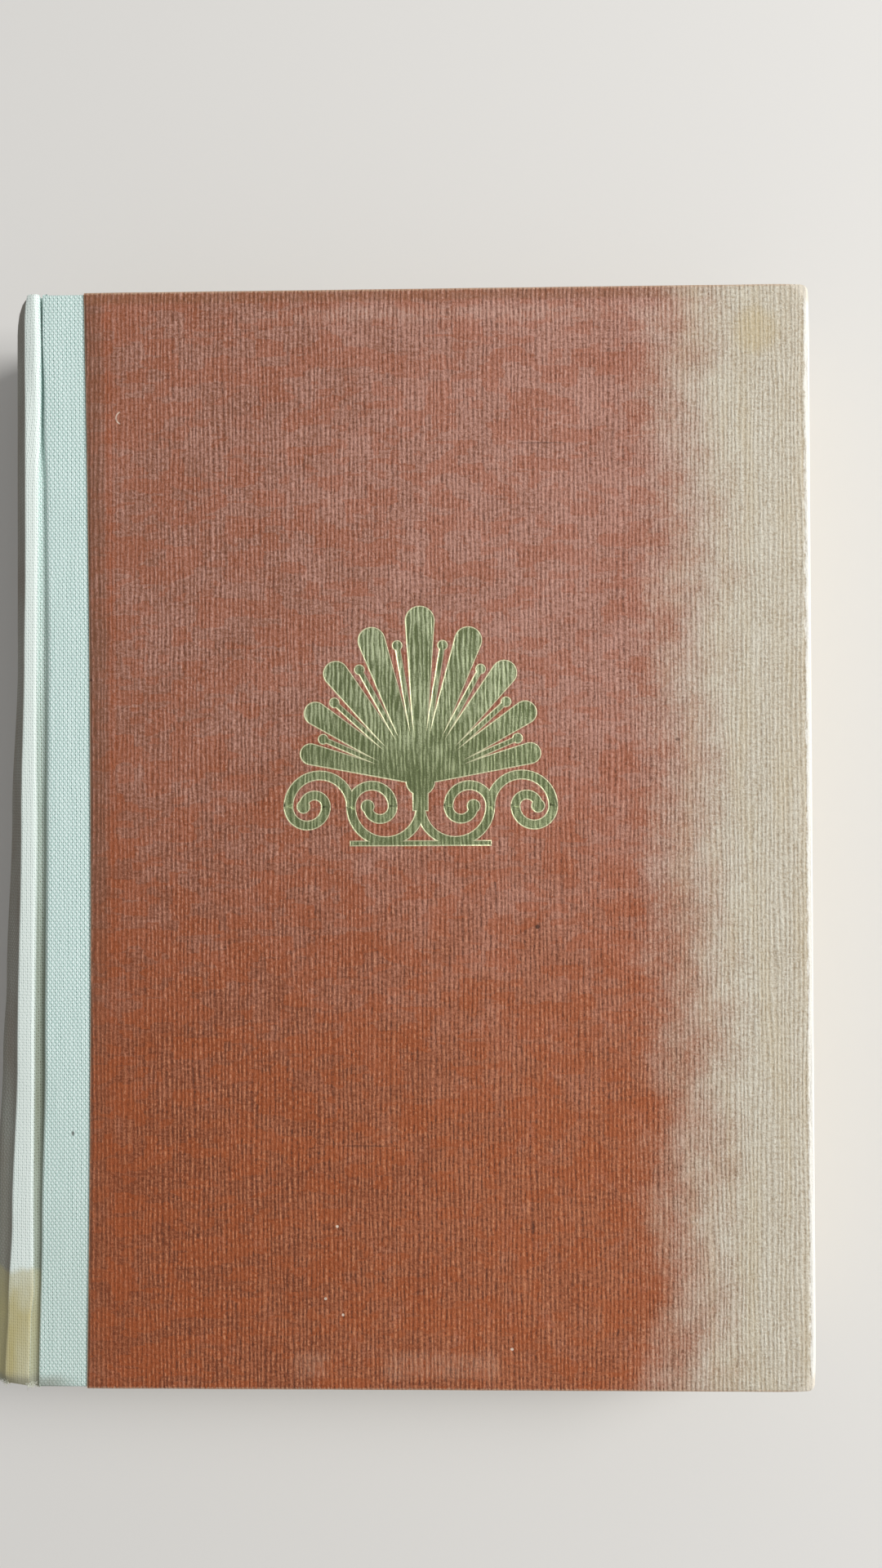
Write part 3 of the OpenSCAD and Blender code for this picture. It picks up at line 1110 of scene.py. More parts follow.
@dataclass(frozen=True)
class PaperFinish:
    """Uncoated book paper, for leaves and endpapers."""

    name: str
    light: Colour = srgb(228, 220, 196)
    shade: Colour = srgb(206, 192, 158)
    spot: Colour = srgb(172, 142, 98)
    fibre: Colour = srgb(190, 176, 146)

    def material(self) -> bpy.types.Material:
        """Makes the paper's material from the attribute sheet_place.

        Returns:
            The material.
        """
        desk = Desk(self.name)
        across, along, _ = desk.attribute("sheet_place")
        cloud = desk.grain(across * 0.03, along * 0.03, 5.0, 4.0, 0.6)
        fibre = desk.grain(across * 1.6, along * 3.0, 8.0, 4.0, 0.7)
        foxing = desk.grain(across * 0.32, along * 0.32, 12.0, 2.0, 0.7).rise(0.71, 0.8)
        colour = desk.coats(
            self.light,
            (cloud.rise(0.36, 0.7), self.shade),
            (foxing * 0.45, self.spot),
            (fibre.rise(0.4, 0.75) * 0.18, self.fibre),
        )
        return desk.finish(colour, 0.9, fibre * 0.02 + cloud * 0.03)


@dataclass(frozen=True)
class PageEdgeFinish:
    """The cut edges of many leaves, toned by age and dust."""

    leaf: float = 0.105
    light: Colour = srgb(226, 213, 182)
    shade: Colour = srgb(186, 166, 126)
    aged: Colour = srgb(204, 186, 146)
    dust: Colour = srgb(150, 136, 112)

    def material(self) -> bpy.types.Material:
        """Makes the leaves' material from the place on the book and the attribute leaf_tone.

        Returns:
            The material.
        """
        desk = Desk("page_edges")
        x, y, _ = desk.place()
        tone, lift, _ = desk.attribute("leaf_tone")
        warp = desk.grain(x * 0.05, y * 0.05, 2.0) * 0.3
        leaves = desk.grain((lift + warp) * (1 / self.leaf), (x + y) * 0.012, 4.0, 1.0, 0.8)
        fine = desk.grain(lift * 24.0, (x + y) * 0.05, 9.0, 2.0, 0.7)
        cloud = desk.grain(x * 0.06, y * 0.06, 13.0, 3.0)
        lines = leaves * 0.6 + fine * 0.4
        dusty = (y + (cloud - 0.5) * 3.0).rise(115.2, 116.4) * (0.35 + 0.5 * cloud)
        colour = desk.coats(
            self.light,
            (lines.rise(0.62, 0.3) * 0.75, self.shade),
            (tone * 0.3, self.aged),
            (dusty, self.dust),
        )
        return desk.finish(colour, 0.88, lines * 0.05)


@dataclass(frozen=True)
class BoardFinish:
    """Grey millboard or brown card, with flecks of fibre."""

    name: str
    light: Colour
    shade: Colour

    def material(self) -> bpy.types.Material:
        """Makes the board's material from the place on the book.

        Returns:
            The material.
        """
        desk = Desk(self.name)
        x, y, z = desk.place()
        fibre = desk.grain(x * 1.2 + z * 2.0, y * 0.5, 4.0, 4.0, 0.7)
        layer = desk.grain(x * 0.05 + y * 0.05, z * 6.0, 7.0, 2.0)
        colour = desk.coats(
            self.shade, (fibre.rise(0.35, 0.65), self.light), (layer.rise(0.5, 0.7) * 0.3, self.shade)
        )
        return desk.finish(colour, 0.92, fibre * 0.04 + layer * 0.03)


MILLBOARD = BoardFinish("millboard", srgb(150, 142, 126), srgb(112, 104, 90))
BROWN_CARD = BoardFinish("spine_card", srgb(176, 150, 112), srgb(140, 112, 76))


@dataclass(frozen=True)
class MullFinish:
    """Stiff open gauze, soaked with glue."""

    pitch: float = 1.1
    thread: Colour = srgb(214, 202, 172)
    glue: Colour = srgb(168, 140, 92)

    def material(self) -> bpy.types.Material:
        """Makes the gauze's material from the place on the book.

        Returns:
            The material.
        """
        desk = Desk("mull_gauze")
        x, y, z = desk.place()
        across = ((x + z) * (math.pi / self.pitch)).sine().size()
        along = (y * (math.pi / self.pitch)).sine().size()
        threads = across.rise(0.66, 0.86).most(along.rise(0.66, 0.86))
        fuzz = desk.grain(x * 3.0 + z * 3.0, y * 3.0, 6.0, 3.0, 0.7)
        colour = desk.mix(threads * (0.7 + 0.3 * fuzz), self.glue, self.thread)
        return desk.finish(colour, 0.8, threads * 0.12 + fuzz * 0.03)


@dataclass(frozen=True)
class BandFinish:
    """Striped silk wound over a cord."""

    light: Colour = srgb(226, 214, 190)
    rust: Colour = srgb(150, 66, 38)
    shade: Colour = srgb(120, 96, 70)

    def material(self) -> bpy.types.Material:
        """Makes the silk's material from the attribute wrap_place.

        Returns:
            The material.
        """
        desk = Desk("band_silk")
        along, around, bead = desk.attribute("wrap_place")
        stripe = ((along * (math.pi / 2.1)).sine() * bead).rise(-0.1, 0.1)
        twist = (along * 7.0 + around * 1.6).wave(1.0)
        fuzz = desk.grain(along * 3.0, around * 3.0, 5.0, 3.0, 0.7)
        colour = desk.coats(self.light, (stripe, self.rust), (twist * 0.25 + fuzz * 0.2, self.shade))
        return desk.finish(colour, 0.5, twist * 0.03, constants={"Sheen Weight": 0.2})


@dataclass(frozen=True)
class FibreFinish:
    """Loose white threads of worn cloth."""

    light: Colour = srgb(226, 228, 214)
    dirty: Colour = srgb(168, 164, 142)

    def material(self) -> bpy.types.Material:
        """Makes the threads' material from the place on the book.

        Returns:
            The material.
        """
        desk = Desk("loose_threads")
        x, y, z = desk.place()
        tone = desk.grain(x * 0.7, y * 0.7, 3.0, 2.0)
        twist = (x + y * 1.7 + z).wave(0.3)
        colour = desk.mix(tone.rise(0.4, 0.65), self.light, self.dirty)
        return desk.finish(colour, 0.85, twist * 0.03)


@dataclass(frozen=True)
class SpineLean:
    """How far the case's spine has moved from its pressed form, as pairs of place along Y and distance."""

    crest: tuple[Point, ...]
    tip: tuple[Point, ...]
    bow: tuple[Point, ...]
    lift: tuple[Point, ...]
    ridge: tuple[Point, ...]
    board: tuple[Point, ...]
    edge_r: tuple[Point, ...] = (
        (-120, 0.6), (-84, 0.9), (-49, 1.2), (5, 1.6), (77, 1.5), (104, 0.6), (120, 0.5),
    )
    edge: float = 0.0
    warp: float = 0.0
    head_knock: tuple[float, float] = (1.6, 7.3)
    tail_knock: tuple[float, float] = (0.9, 3.0)
    knock_from: float = -2.5
    knock_ease: float = 2.5
    board_half: float = SECTION.board_half

    @staticmethod
    def at(places: tuple[Point, ...], y: float) -> float:
        """The distance at a place along the book.

        Args:
            places: The pairs, from the tail to the head.
            y: The place.

        Returns:
            The distance, eased between the pairs.
        """
        for (low, first), (high, second) in zip(places, places[1:]):
            if y <= high:
                return first + (second - first) * smooth((y - low) / (high - low))
        return places[-1][1]

    def inland(self, y: float) -> float:
        """How far the edges that run beside the groove stand from their pressed place."""
        return self.edge + self.warp * max(1 - (y / self.board_half) ** 2, 0.0)

    def knock(self, point: Point, y: float) -> float:
        """How far the rounded corners of the spine are pushed in.

        Args:
            point: The point of the section.
            y: The place along the book.

        Returns:
            The shift towards the fore-edge.
        """
        depth, reach = self.head_knock if y > 0 else self.tail_knock
        part = min(max((abs(y) - self.board_half + reach) / reach, 0.0), 1.0)
        return depth * (1 - math.sqrt(1 - part * part)) * smooth(
            (self.knock_from - point[0]) / self.knock_ease
        )


SPINE_BOW = ((-120, 4.6), (-75, 3.9), (-48, 2.8), (-31, 2.0), (5, 0.8), (40, -0.5), (120, -0.6))
LEANS = {
    Side.FRONT: SpineLean(
        crest=(
            (-120, -1.2), (-105, -0.9), (-99, -0.3), (-76, -0.3), (-49, -0.1),
            (5, 0.45), (77, 0.9), (108, 1.2), (120, 1.0),
        ),
        tip=((-120, 5.5), (-102, 4.6), (-84, 3.66), (-48, 2.3), (5, 1.26), (40, 0.5), (60, 0.2), (120, 0.1)),
        bow=SPINE_BOW,
        lift=((-120, 1.45), (-84, 1.25), (-48, 0.9), (5, 0.8), (20, 1.0), (74, 1.0), (96, 0.15), (120, 0.05)),
        ridge=((-120, 0.0), (92, 0.06), (106, 0.5), (120, 0.45)),
        board=(
            (-120, -0.85), (-84, 0.07), (-49, 1.08), (5, 1.77), (41, 2.06),
            (77, 1.8), (95, 1.13), (113, 0.63), (120, 0.6),
        ),
        edge=-0.5,
        warp=1.15,
    ),
    Side.BACK: SpineLean(
        crest=((-120, 0.2), (120, 0.4)),
        tip=((-120, 0.0), (120, 0.0)),
        bow=SPINE_BOW,
        lift=((-120, 0.2), (120, 0.3)),
        ridge=((-120, 0.0), (120, 0.05)),
        board=((-120, 2.0), (120, 2.0)),
    ),
}


def bowed(side: Side, offset: float, angle: float, y: float) -> Point:
    """A point of the case's spine, bowed out as it is at a place along the book.

    Args:
        side: The half of the spine.
        offset: How far it would stand off the block.
        angle: Its angle, in degrees.
        y: The place along the book.

    Returns:
        The point.
    """
    lean = LEANS[side]
    share = 1.0
    if side is Side.BACK:
        share = smooth((angle - SECTION.inlay_angle) / (180 - SECTION.inlay_angle))
    point = SECTION.spine_point(offset + lean.at(lean.bow, y) * share, angle)
    return (point[0] + lean.knock(point, y), point[1])


@dataclass
class CoveringCloth:
    """One half of the covering cloth, from under a side paper over the groove to the spine's middle."""

    side: Side
    section: Section = SECTION
    flat_steps: int = 8
    rows: int = 60
    fold_steps: int = 4
    back_steps: int = 5
    spine_steps: int = 16
    flank_steps: int = 12
    joint_turn: float = 3.0
    sunk: float = 0.03
    sink_w: float = 0.7
    paper_lap: float = 1.0
    under_paper: float = 0.32
    fold_gap: float = 0.02
    tip_end: float = 142.0
    flank_start: float = 232.0
    tip_drop: float = 0.16
    fillet_tries: int = 20
    fillet_shrink: float = 0.9
    free_w: float = 1.5
    wear_x: float = -0.6
    wear_w: float = 1.6
    wear_y: float = 2.5
    # Columns darkened in the groove, for grime and painted shade.
    groove_grime_and_shade: tuple[Point, ...] = ((14, 0.0), (18, 0.35), (22, 1.0), (39, 1.0), (41, 0.5), (43, 0.0))
    # Columns that are paler over the shoulder's crest.
    crest_paling: tuple[Point, ...] = ((39, 0.0), (42, 1.0), (50, 1.0), (53, 0.4), (54, 0.0))
    # Columns of the spine's flank that take painted shade.
    flank_painted_shade: tuple[Point, ...] = ((49, 0.0), (53, 1.0))

    def face(self, y: float) -> list[Point]:
        """The cloth's face across the book, from its edge under the paper to the spine's middle.

        Args:
            y: The place along the book.

        Returns:
            The points, as many at every place.
        """
        s = self.section
        lean = LEANS[self.side]
        edge_r = lean.at(lean.edge_r, y)
        crest_r = s.shoulder_r + s.mull_t + s.cloth_t
        edge = (lean.at(lean.board, y), s.outer_z - edge_r)
        crest = (lean.at(lean.crest, y) - s.groove_x - crest_r, s.tip_z + lean.at(lean.ridge, y))
        floor = s.floor_z + s.cloth_t + lean.at(lean.lift, y)
        radius = s.groove_r
        for _ in range(self.fillet_tries):
            level = floor + radius
            right = edge[0] - math.sqrt((edge_r + radius) ** 2 - (level - edge[1]) ** 2)
            left = crest[0] + math.sqrt((crest_r + radius) ** 2 - (level - crest[1]) ** 2)
            if left <= right:
                break
            radius *= self.fillet_shrink
        edge_end = math.degrees(math.atan2(level - edge[1], right - edge[0])) % 360
        crest_start = math.degrees(math.atan2(crest[1] - level, crest[0] - left)) % 360
        moved = lean.at(lean.tip, y)
        tip = (s.tip[0] - moved, s.tip[1] - self.tip_drop * moved)
        slope = math.degrees(math.atan2(crest[1] - tip[1], crest[0] - tip[0]))
        bare_x = s.paper_x - self.paper_lap
        points = line((s.cloth_x, s.outer_z - self.sunk), (bare_x + self.sink_w, s.outer_z - self.sunk), 4)
        points += line((bare_x, s.outer_z), (s.groove_x + 3.0, s.outer_z), self.flat_steps)
        points.append((edge[0] + 0.01, s.outer_z))
        points += arc(edge, edge_r, 90, edge_end, 8, 1)
        points += arc((right, level), radius, edge_end + 180, 270, 7, 1)
        points += arc((left, level), radius, 270, crest_start, 7)
        points += arc(crest, crest_r, crest_start - 180, 90 + slope, 9, 1)
        points += arc(tip, crest_r, 90 + slope, self.tip_end, 7)
        points += self.flank(points[-1], y)
        spine = []
        for step in range(1, self.spine_steps + 1):
            angle = s.inlay_angle + (180 - s.inlay_angle) * step / self.spine_steps
            spine.append(bowed(self.side, s.mull_t + s.cloth_t + s.spine_rise, angle, y))
        return [(x + lean.knock((x, z), y), z) for x, z in points] + spine

    def flank(self, start: Point, y: float) -> list[Point]:
        """The cloth's way from the shoulder's tip to the edge of the inlay.

        Args:
            start: The end of the shoulder's tip.
            y: The place along the book.

        Returns:
            The points, without the start.
        """
        s = self.section
        offset = s.mull_t + s.cloth_t + s.spine_rise
        end_x, end_z = bowed(self.side, offset, s.inlay_angle, y)
        end_x -= LEANS[self.side].knock((end_x, end_z), y)
        first, last = (
            Vector((math.cos(math.radians(angle)), math.sin(math.radians(angle))))
            for angle in (self.flank_start, s.inlay_angle + 90)
        )
        begin, end = Vector(start), Vector((end_x, end_z))
        reach = (end - begin).length
        points = []
        for step in range(1, self.flank_steps + 1):
            t = step / self.flank_steps
            point = begin * (2 * t**3 - 3 * t**2 + 1) + end * (3 * t**2 - 2 * t**3)
            point += first * reach * (t**3 - 2 * t**2 + t) + last * reach * (t**3 - t**2)
            points.append((point.x, point.y))
        return points

    def folds(self, points: list[Point]) -> list[tuple[Vector, float, float]]:
        """How the cloth is turned in at each point of its face.

        Args:
            points: The face.

        Returns:
            For each point, the direction of the turn-in, its depth and its length.
        """
        s = self.section
        flat_fold = 2 * s.cloth_t + self.fold_gap
        inlay_fold = 2 * s.cloth_t + s.inlay_t
        flank_end = len(points) - self.spine_steps - 1
        found = []
        for index, point in enumerate(points):
            if point[0] > s.board_x - s.cloth_t:
                covered = smooth((point[0] - s.paper_x + self.paper_lap) / self.sink_w)
                depth = max(point[1] - s.inner_z - self.under_paper * covered, flat_fold)
                found.append((Vector((0, -1)), depth, s.turn_in))
                continue
            before = Vector(points[max(index - 1, 0)])
            after = Vector(points[min(index + 1, len(points) - 1)])
            along = (after - before).normalized()
            inward = Vector((-along.y, along.x))
            share = smooth((index - flank_end + self.flank_steps) / self.flank_steps)
            depth = flat_fold + (inlay_fold - flat_fold) * share
            found.append((inward, depth, self.joint_turn + (s.turn_in - self.joint_turn) * share))
        return found

    def row(self, step: int, depth: float, length: float) -> tuple[float, float, float]:
        """Where a row of the cloth lies, counted from the middle of the book to an end.

        Args:
            step: The row.
            depth: How deep the turn-in lies below the face.
            length: How long the turn-in is.

        Returns:
            The distance from the middle, the depth below the face and the distance along the cloth.
        """
        radius = min(depth / 2, self.section.arris_r + self.section.cloth_t)
        flat = self.section.board_half - radius
        if step <= self.rows:
            place = flat * step / self.rows
            return place, 0.0, place
        step -= self.rows
        quarter = radius * math.pi / 2
        if step <= self.fold_steps:
            turn = math.pi / 2 * step / self.fold_steps
            return flat + radius * math.sin(turn), radius * (1 - math.cos(turn)), flat + radius * turn
        step -= self.fold_steps
        if step <= self.fold_steps:
            turn = math.pi / 2 * step / self.fold_steps
            return (
                flat + radius * math.cos(turn),
                depth - radius + radius * math.sin(turn),
                flat + quarter + depth - 2 * radius + radius * turn,
            )
        step -= self.fold_steps
        back = (length - radius) * step / self.back_steps
        return flat - back, depth, flat + 2 * quarter + depth - 2 * radius + back

    def build(self) -> bpy.types.Object:
        """Builds and dresses the half.

        Returns:
            The piece.
        """
        nominal = self.face(0.0)
        nominal_folds = self.folds(nominal)
        reach = distances(nominal)
        hinge_reach = next(r for r, p in zip(reach, nominal) if p[0] <= 1.0)
        columns = len(nominal) - 1
        half_rows = self.rows + 2 * self.fold_steps + self.back_steps
        mesh = bmesh.new()
        bmesh.ops.create_grid(mesh, x_segments=columns, y_segments=2 * half_rows, size=1.0)
        layer = mesh.verts.layers.float_vector.new("thread_place")
        # The wear attribute carries, per column, the groove's grime and painted shade, the paler crest and
        # the flank's painted shade.
        wear = mesh.verts.layers.float_vector.new("wear")
        wear_and_shade_marks = [
            Vector(SpineLean.at(places, float(column)) for places in (self.groove_grime_and_shade, self.crest_paling, self.flank_painted_shade))
            for column in range(columns + 1)
        ]
        faces: dict[float, tuple[list[Point], list[tuple[Vector, float, float]], list[float]]] = {}
        for vert in mesh.verts:
            column = round((vert.co.x + 1) / 2 * columns)
            step = round(vert.co.y * half_rows)
            way = 1 if step >= 0 else -1
            place, below, unrolled = self.row(abs(step), nominal_folds[column][1], nominal_folds[column][2])
            y = way * place
            key = round(y, 1)
            if key not in faces:
                points = self.face(key)
                faces[key] = (points, self.folds(points), distances(points))
            points, folds, run = faces[key]
            x = points[column][0] + folds[column][0].x * below
            z = points[column][1] + folds[column][0].y * below
            vert.co = Vector((x, y, z)) + self.slack(points[column], reach[column], y, below)
            vert[layer] = Vector((hinge_reach - run[column], way * unrolled, below))
            vert[wear] = wear_and_shade_marks[column]
        on_board = Vector((6.0, 0.0, 15.8))
        face_out(mesh, lambda centre: (centre - on_board).length, Vector((0, 0, 1)))
        material = ClothFinish().material(self.side is Side.FRONT)
        piece = make_piece(mesh, f"{self.side.word}_covering_cloth", self.side, 60.0, material)
        thicken(piece, self.section.cloth_t)
        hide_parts(f"{self.side.word}_cloth", "spine_cloth")
        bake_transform(piece)
        area = sum(face.area for face in piece.data.polygons)
        flat = (reach[-1] * MM, 2 * (self.section.board_half + self.section.turn_in) * MM)
        min(area, flat[0] * flat[1])
        LOG.info("%s: flat %.0f x %.0f mm", piece.name, flat[0] / MM, flat[1] / MM)
        return piece

    def slack(self, point: Point, reach: float, y: float, below: float) -> Vector:
        """The small unevenness of the cloth, and the wear of its ends.

        Args:
            point: The point of the face.
            reach: The distance along the section.
            y: The place along the book.
            below: The depth below the face, in a turn-in.

        Returns:
            The shift.
        """
        s = self.section
        free = smooth((s.board_x - point[0]) / self.free_w)
        seed = 3.0 + self.side.value
        bend = ripple(reach * 0.12, y * 0.05, seed) * 0.06 + ripple(reach * 0.3, y * 0.02, seed + 5) * 0.05
        pucker = ripple(reach * 0.8, y * 0.16, seed + 9) * 0.035
        shift = Vector((0.0, 0.0, (bend + pucker) * free * smooth(1 - below / 0.6)))
        near_end = smooth((abs(y) - s.board_half + self.wear_y) / self.wear_y)
        near_end *= smooth((self.wear_x - point[0]) / self.wear_w)
        if y < 0:
            bite = 0.32 + 0.4 * ripple(reach * 0.6, 1.0, 5.0) + 0.45 * ripple(reach * 2.6, 2.0, 7.0)
            shift.y = near_end * max(bite, 0.0)
            shift.z -= near_end * 0.2 * max(ripple(reach * 1.3, 3.0, 9.0), 0.0)
        else:
            shift.y = -near_end * max(0.12 + 0.2 * ripple(reach * 0.5, 4.0, 15.0), 0.0)
        return shift


@dataclass
class Millboard:
    """The board within one cover, with its spine edge worn as the cloth over it shows."""

    side: Side
    section: Section = SECTION
    rows: int = 24
    slack: float = 0.05
    fore_gap: float = 0.35
    cloth_gap: float = 0.03
    bend_w: float = 12.0
    wear: float = 0.45

    def build(self) -> bpy.types.Object:
        """Builds and dresses the board.

        Returns:
            The piece.
        """
        s = self.section
        lean = LEANS[self.side]
        low = Vector((s.board_x, -s.board_half + s.cloth_t, s.inner_z + s.cloth_t + self.slack))
        high = Vector((s.fore_x - self.fore_gap, s.board_half - s.cloth_t, s.outer_z - s.cloth_t))
        mesh = box_mesh(low, high)
        round_edges(mesh, list(mesh.edges), s.arris_r, 3)
        for row in range(1, self.rows):
            y = low.y + (high.y - low.y) * row / self.rows
            slice_mesh(mesh, Vector((0, y, 0)), Vector((0, 1, 0)))
        for vert in mesh.verts:
            y = vert.co.y
            edge_r = lean.at(lean.edge_r, y)
            beside = smooth(1 - (vert.co.x - low.x) / self.bend_w)
            vert.co.x += beside * (lean.at(lean.board, y) - edge_r - s.groove_x + self.cloth_gap)
            corner = max(edge_r - s.cloth_t - s.arris_r, 0.0)
            outer = smooth((vert.co.z - s.inner_z) / 2.0)
            vert.co.z -= corner * self.wear * outer * smooth((low.x + 1.0 - vert.co.x) / 1.0)
        piece = make_piece(mesh, f"{self.side.word}_millboard", self.side, 40.0, MILLBOARD.material())
        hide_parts(f"{self.side.word}_board")
        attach(piece, self.side.body)
        LOG.info("%s: %.0f mm high", piece.name, high.y - low.y)
        return piece


@dataclass
class SpineCard:
    """The card strip behind the covering cloth, bowed as the cloth is."""

    section: Section = SECTION
    steps: int = 32
    rows: int = 60
    end_gap: float = 0.05
    cloth_gap: float = 0.02

    def build(self) -> bpy.types.Object:
        """Builds and dresses the card.

        Returns:
            The piece.
        """
        s = self.section
        half = s.board_half - s.cloth_t - self.end_gap
        offset = s.mull_t + s.spine_rise - self.cloth_gap
        mesh = bmesh.new()
        bmesh.ops.create_grid(mesh, x_segments=self.steps, y_segments=self.rows, size=1.0)
        for vert in mesh.verts:
            side = Side.FRONT if vert.co.x >= 0 else Side.BACK
            y = vert.co.y * half
            angle = 180 - abs(vert.co.x) * (180 - s.inlay_angle)
            x, z = bowed(side, offset, angle, y)
            vert.co = Vector((x, y, z * side.value))
        face_out(mesh, lambda centre: centre.length, Vector((-1, 0, 0)))
        piece = make_piece(mesh, "spine_card", Side.FRONT, 60.0, BROWN_CARD.material())
        thicken(piece, s.inlay_t)
        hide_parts("spine_inlay")
        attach(piece, "text_block")
        LOG.info("%s: bowed by %.1f mm at the tail", piece.name, LEANS[Side.FRONT].bow[0][1])
        return piece


@dataclass
class SidePaper:
    """The ribbed paper over one board, wrapped round three edges and turned in."""

    side: Side
    section: Section = SECTION
    edge_r: float = 0.8
    corner_r: float = 1.5
    thickness: float = 0.3
    pitch: float = 4.0
    overhang: float = 1.0
    knock_reach: float = 3.2
    knock_x: float = 0.35
    knock_y: float = 0.3
    rim_w: float = 3.0
    rim_sway: float = 0.06
    bend_w: float = 24.0
    droop_w: float = 12.0
    droop: float = 0.05

    @property
    def lean(self) -> SpineLean:
        """How this side's edges have moved."""
        return LEANS[self.side]

    def build(self, cutter: bpy.types.Object | None = None) -> bpy.types.Object:
        """Builds and dresses the paper.

        Args:
            cutter: What sinks the ornament's ground into it, which is removed, or None.

        Returns:
            The piece.
        """
        s = self.section
        low = Vector((s.paper_x + self.lean.edge, -s.board_half - self.thickness, s.inner_z))
        high = Vector((s.fore_x + self.overhang, s.board_half + self.thickness, s.face_z))
        mesh = box_mesh(low, high)
        round_edges(mesh, [e for e in mesh.edges if self.upright(e, high.x)], self.corner_r, 5)
        rims = [e for e in mesh.edges if self.level(e) and not self.at(e, low.x)]
        round_edges(mesh, rims, self.edge_r, 4)
        self.open_inside(mesh, low, high)
        self.cut_grid(mesh, low, high)
        self.settle(mesh, low, high)
        piece = set_in_place(mesh, f"{self.side.word}_ribbed_paper", self.side)
        thicken(piece, self.thickness)
        if cutter is not None:
            sink = piece.modifiers.new("ornament_ground", "BOOLEAN")
            sink.object = cutter
            sink.operation = "DIFFERENCE"
            sink.solver = "EXACT"
            sink.use_self = True
        solid = bpy.data.meshes.new_from_object(
            piece.evaluated_get(bpy.context.evaluated_depsgraph_get())
        )
        piece.modifiers.clear()
        tidy = bmesh.new()
        tidy.from_mesh(solid)
        bmesh.ops.dissolve_degenerate(tidy, dist=0.0002 * MM, edges=tidy.edges)
        bmesh.ops.triangulate(tidy, faces=[face for face in tidy.faces if len(face.verts) > 4])
        tidy.to_mesh(solid)
        tidy.free()
        piece.data = solid
        solid.materials.clear()
        shade(piece, 24.0)
        solid.materials.append(SidePaperFinish().material(self.side))
        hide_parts(f"{self.side.word}_side_paper")
        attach(piece, self.side.body)
        LOG.info("%s: %d faces", piece.name, len(solid.polygons))
        return piece

    @staticmethod
    def upright(edge: bmesh.types.BMEdge, x: float) -> bool:
        """Whether an edge stands upright at x."""
        first, second = (v.co for v in edge.verts)
        return abs(first.z - second.z) > 1.0 and abs(first.x - x) < 0.01

    @staticmethod
    def level(edge: bmesh.types.BMEdge) -> bool:
        """Whether an edge lies level."""
        first, second = (v.co for v in edge.verts)
        return abs(first.z - second.z) < 0.01

    @staticmethod
    def at(edge: bmesh.types.BMEdge, x: float) -> bool:
        """Whether an edge lies at x."""
        return all(abs(v.co.x - x) < 0.01 for v in edge.verts)

    def open_inside(self, mesh: bmesh.types.BMesh, low: Vector, high: Vector) -> None:
        """Takes away what a wrapped sheet lacks: its spine end and the inner face within the turn-ins.

        Args:
            mesh: The sheet, which is still a closed box.
            low: The box's lowest corner.
            high: The box's highest corner.
        """
        s = self.section
        inner_x = high.x - self.thickness - s.turn_in
        inner_y = s.board_half - s.turn_in
        slice_mesh(mesh, Vector((inner_x, 0, 0)), Vector((1, 0, 0)))
        for way in (-1, 1):
            slice_mesh(mesh, Vector((0, way * inner_y, 0)), Vector((0, 1, 0)))
        gone = []
        for face in mesh.faces:
            centre = face.calc_center_median()
            inside = centre.x < inner_x and abs(centre.y) < inner_y and abs(centre.z - low.z) < 0.01
            if inside or abs(centre.x - low.x) < 0.001:
                gone.append(face)
        bmesh.ops.delete(mesh, geom=gone, context="FACES")

    def cut_grid(self, mesh: bmesh.types.BMesh, low: Vector, high: Vector) -> None:
        """Cuts the sheet into a grid that can bend.

        Args:
            mesh: The sheet.
            low: Its lowest corner.
            high: Its highest corner.
        """
        for axis in (0, 1):
            length = high[axis] - low[axis]
            steps = int(length / self.pitch)
            for step in range(1, steps):
                where, normal = Vector((0, 0, 0)), Vector((0, 0, 0))
                where[axis], normal[axis] = low[axis] + length * step / steps, 1
                slice_mesh(mesh, where, normal)

    def settle(self, mesh: bmesh.types.BMesh, low: Vector, high: Vector) -> None:
        """Gives the paper the slight unevenness and bumped corners of a used cover.

        Args:
            mesh: The sheet.
            low: Its lowest corner.
            high: Its highest corner.
        """
        seed = 20.0 + self.side.value
        for vert in mesh.verts:
            x, y, z = vert.co
            to_fore = high.x - x
            to_end = high.y - abs(y)
            to_edge = min(to_fore, to_end)
            knock = math.exp(-((max(to_fore, 0) + max(to_end, 0)) / self.knock_reach))
            vert.co.x -= self.knock_x * knock
            vert.co.y -= math.copysign(self.knock_y * knock, y)
            near = self.rim_sway * smooth((self.rim_w - to_edge) / self.rim_w)
            if to_fore < self.rim_w:
                vert.co.x -= near * (1 + ripple(y * 0.09, 0.0, seed))
            if to_end < self.rim_w:
                vert.co.y -= math.copysign(near * (1 + ripple(x * 0.09, 4.0, seed)), y)
            beside = smooth(1 - (x - low.x) / self.bend_w)
            vert.co.x += beside * (self.lean.inland(y) - self.lean.edge)
            if z > self.section.outer_z and to_edge < self.droop_w:
                hang = self.droop * smooth((self.droop_w - to_edge) / self.droop_w)
                vert.co.z -= hang * (1 + ripple(x * 0.07, y * 0.07, seed))


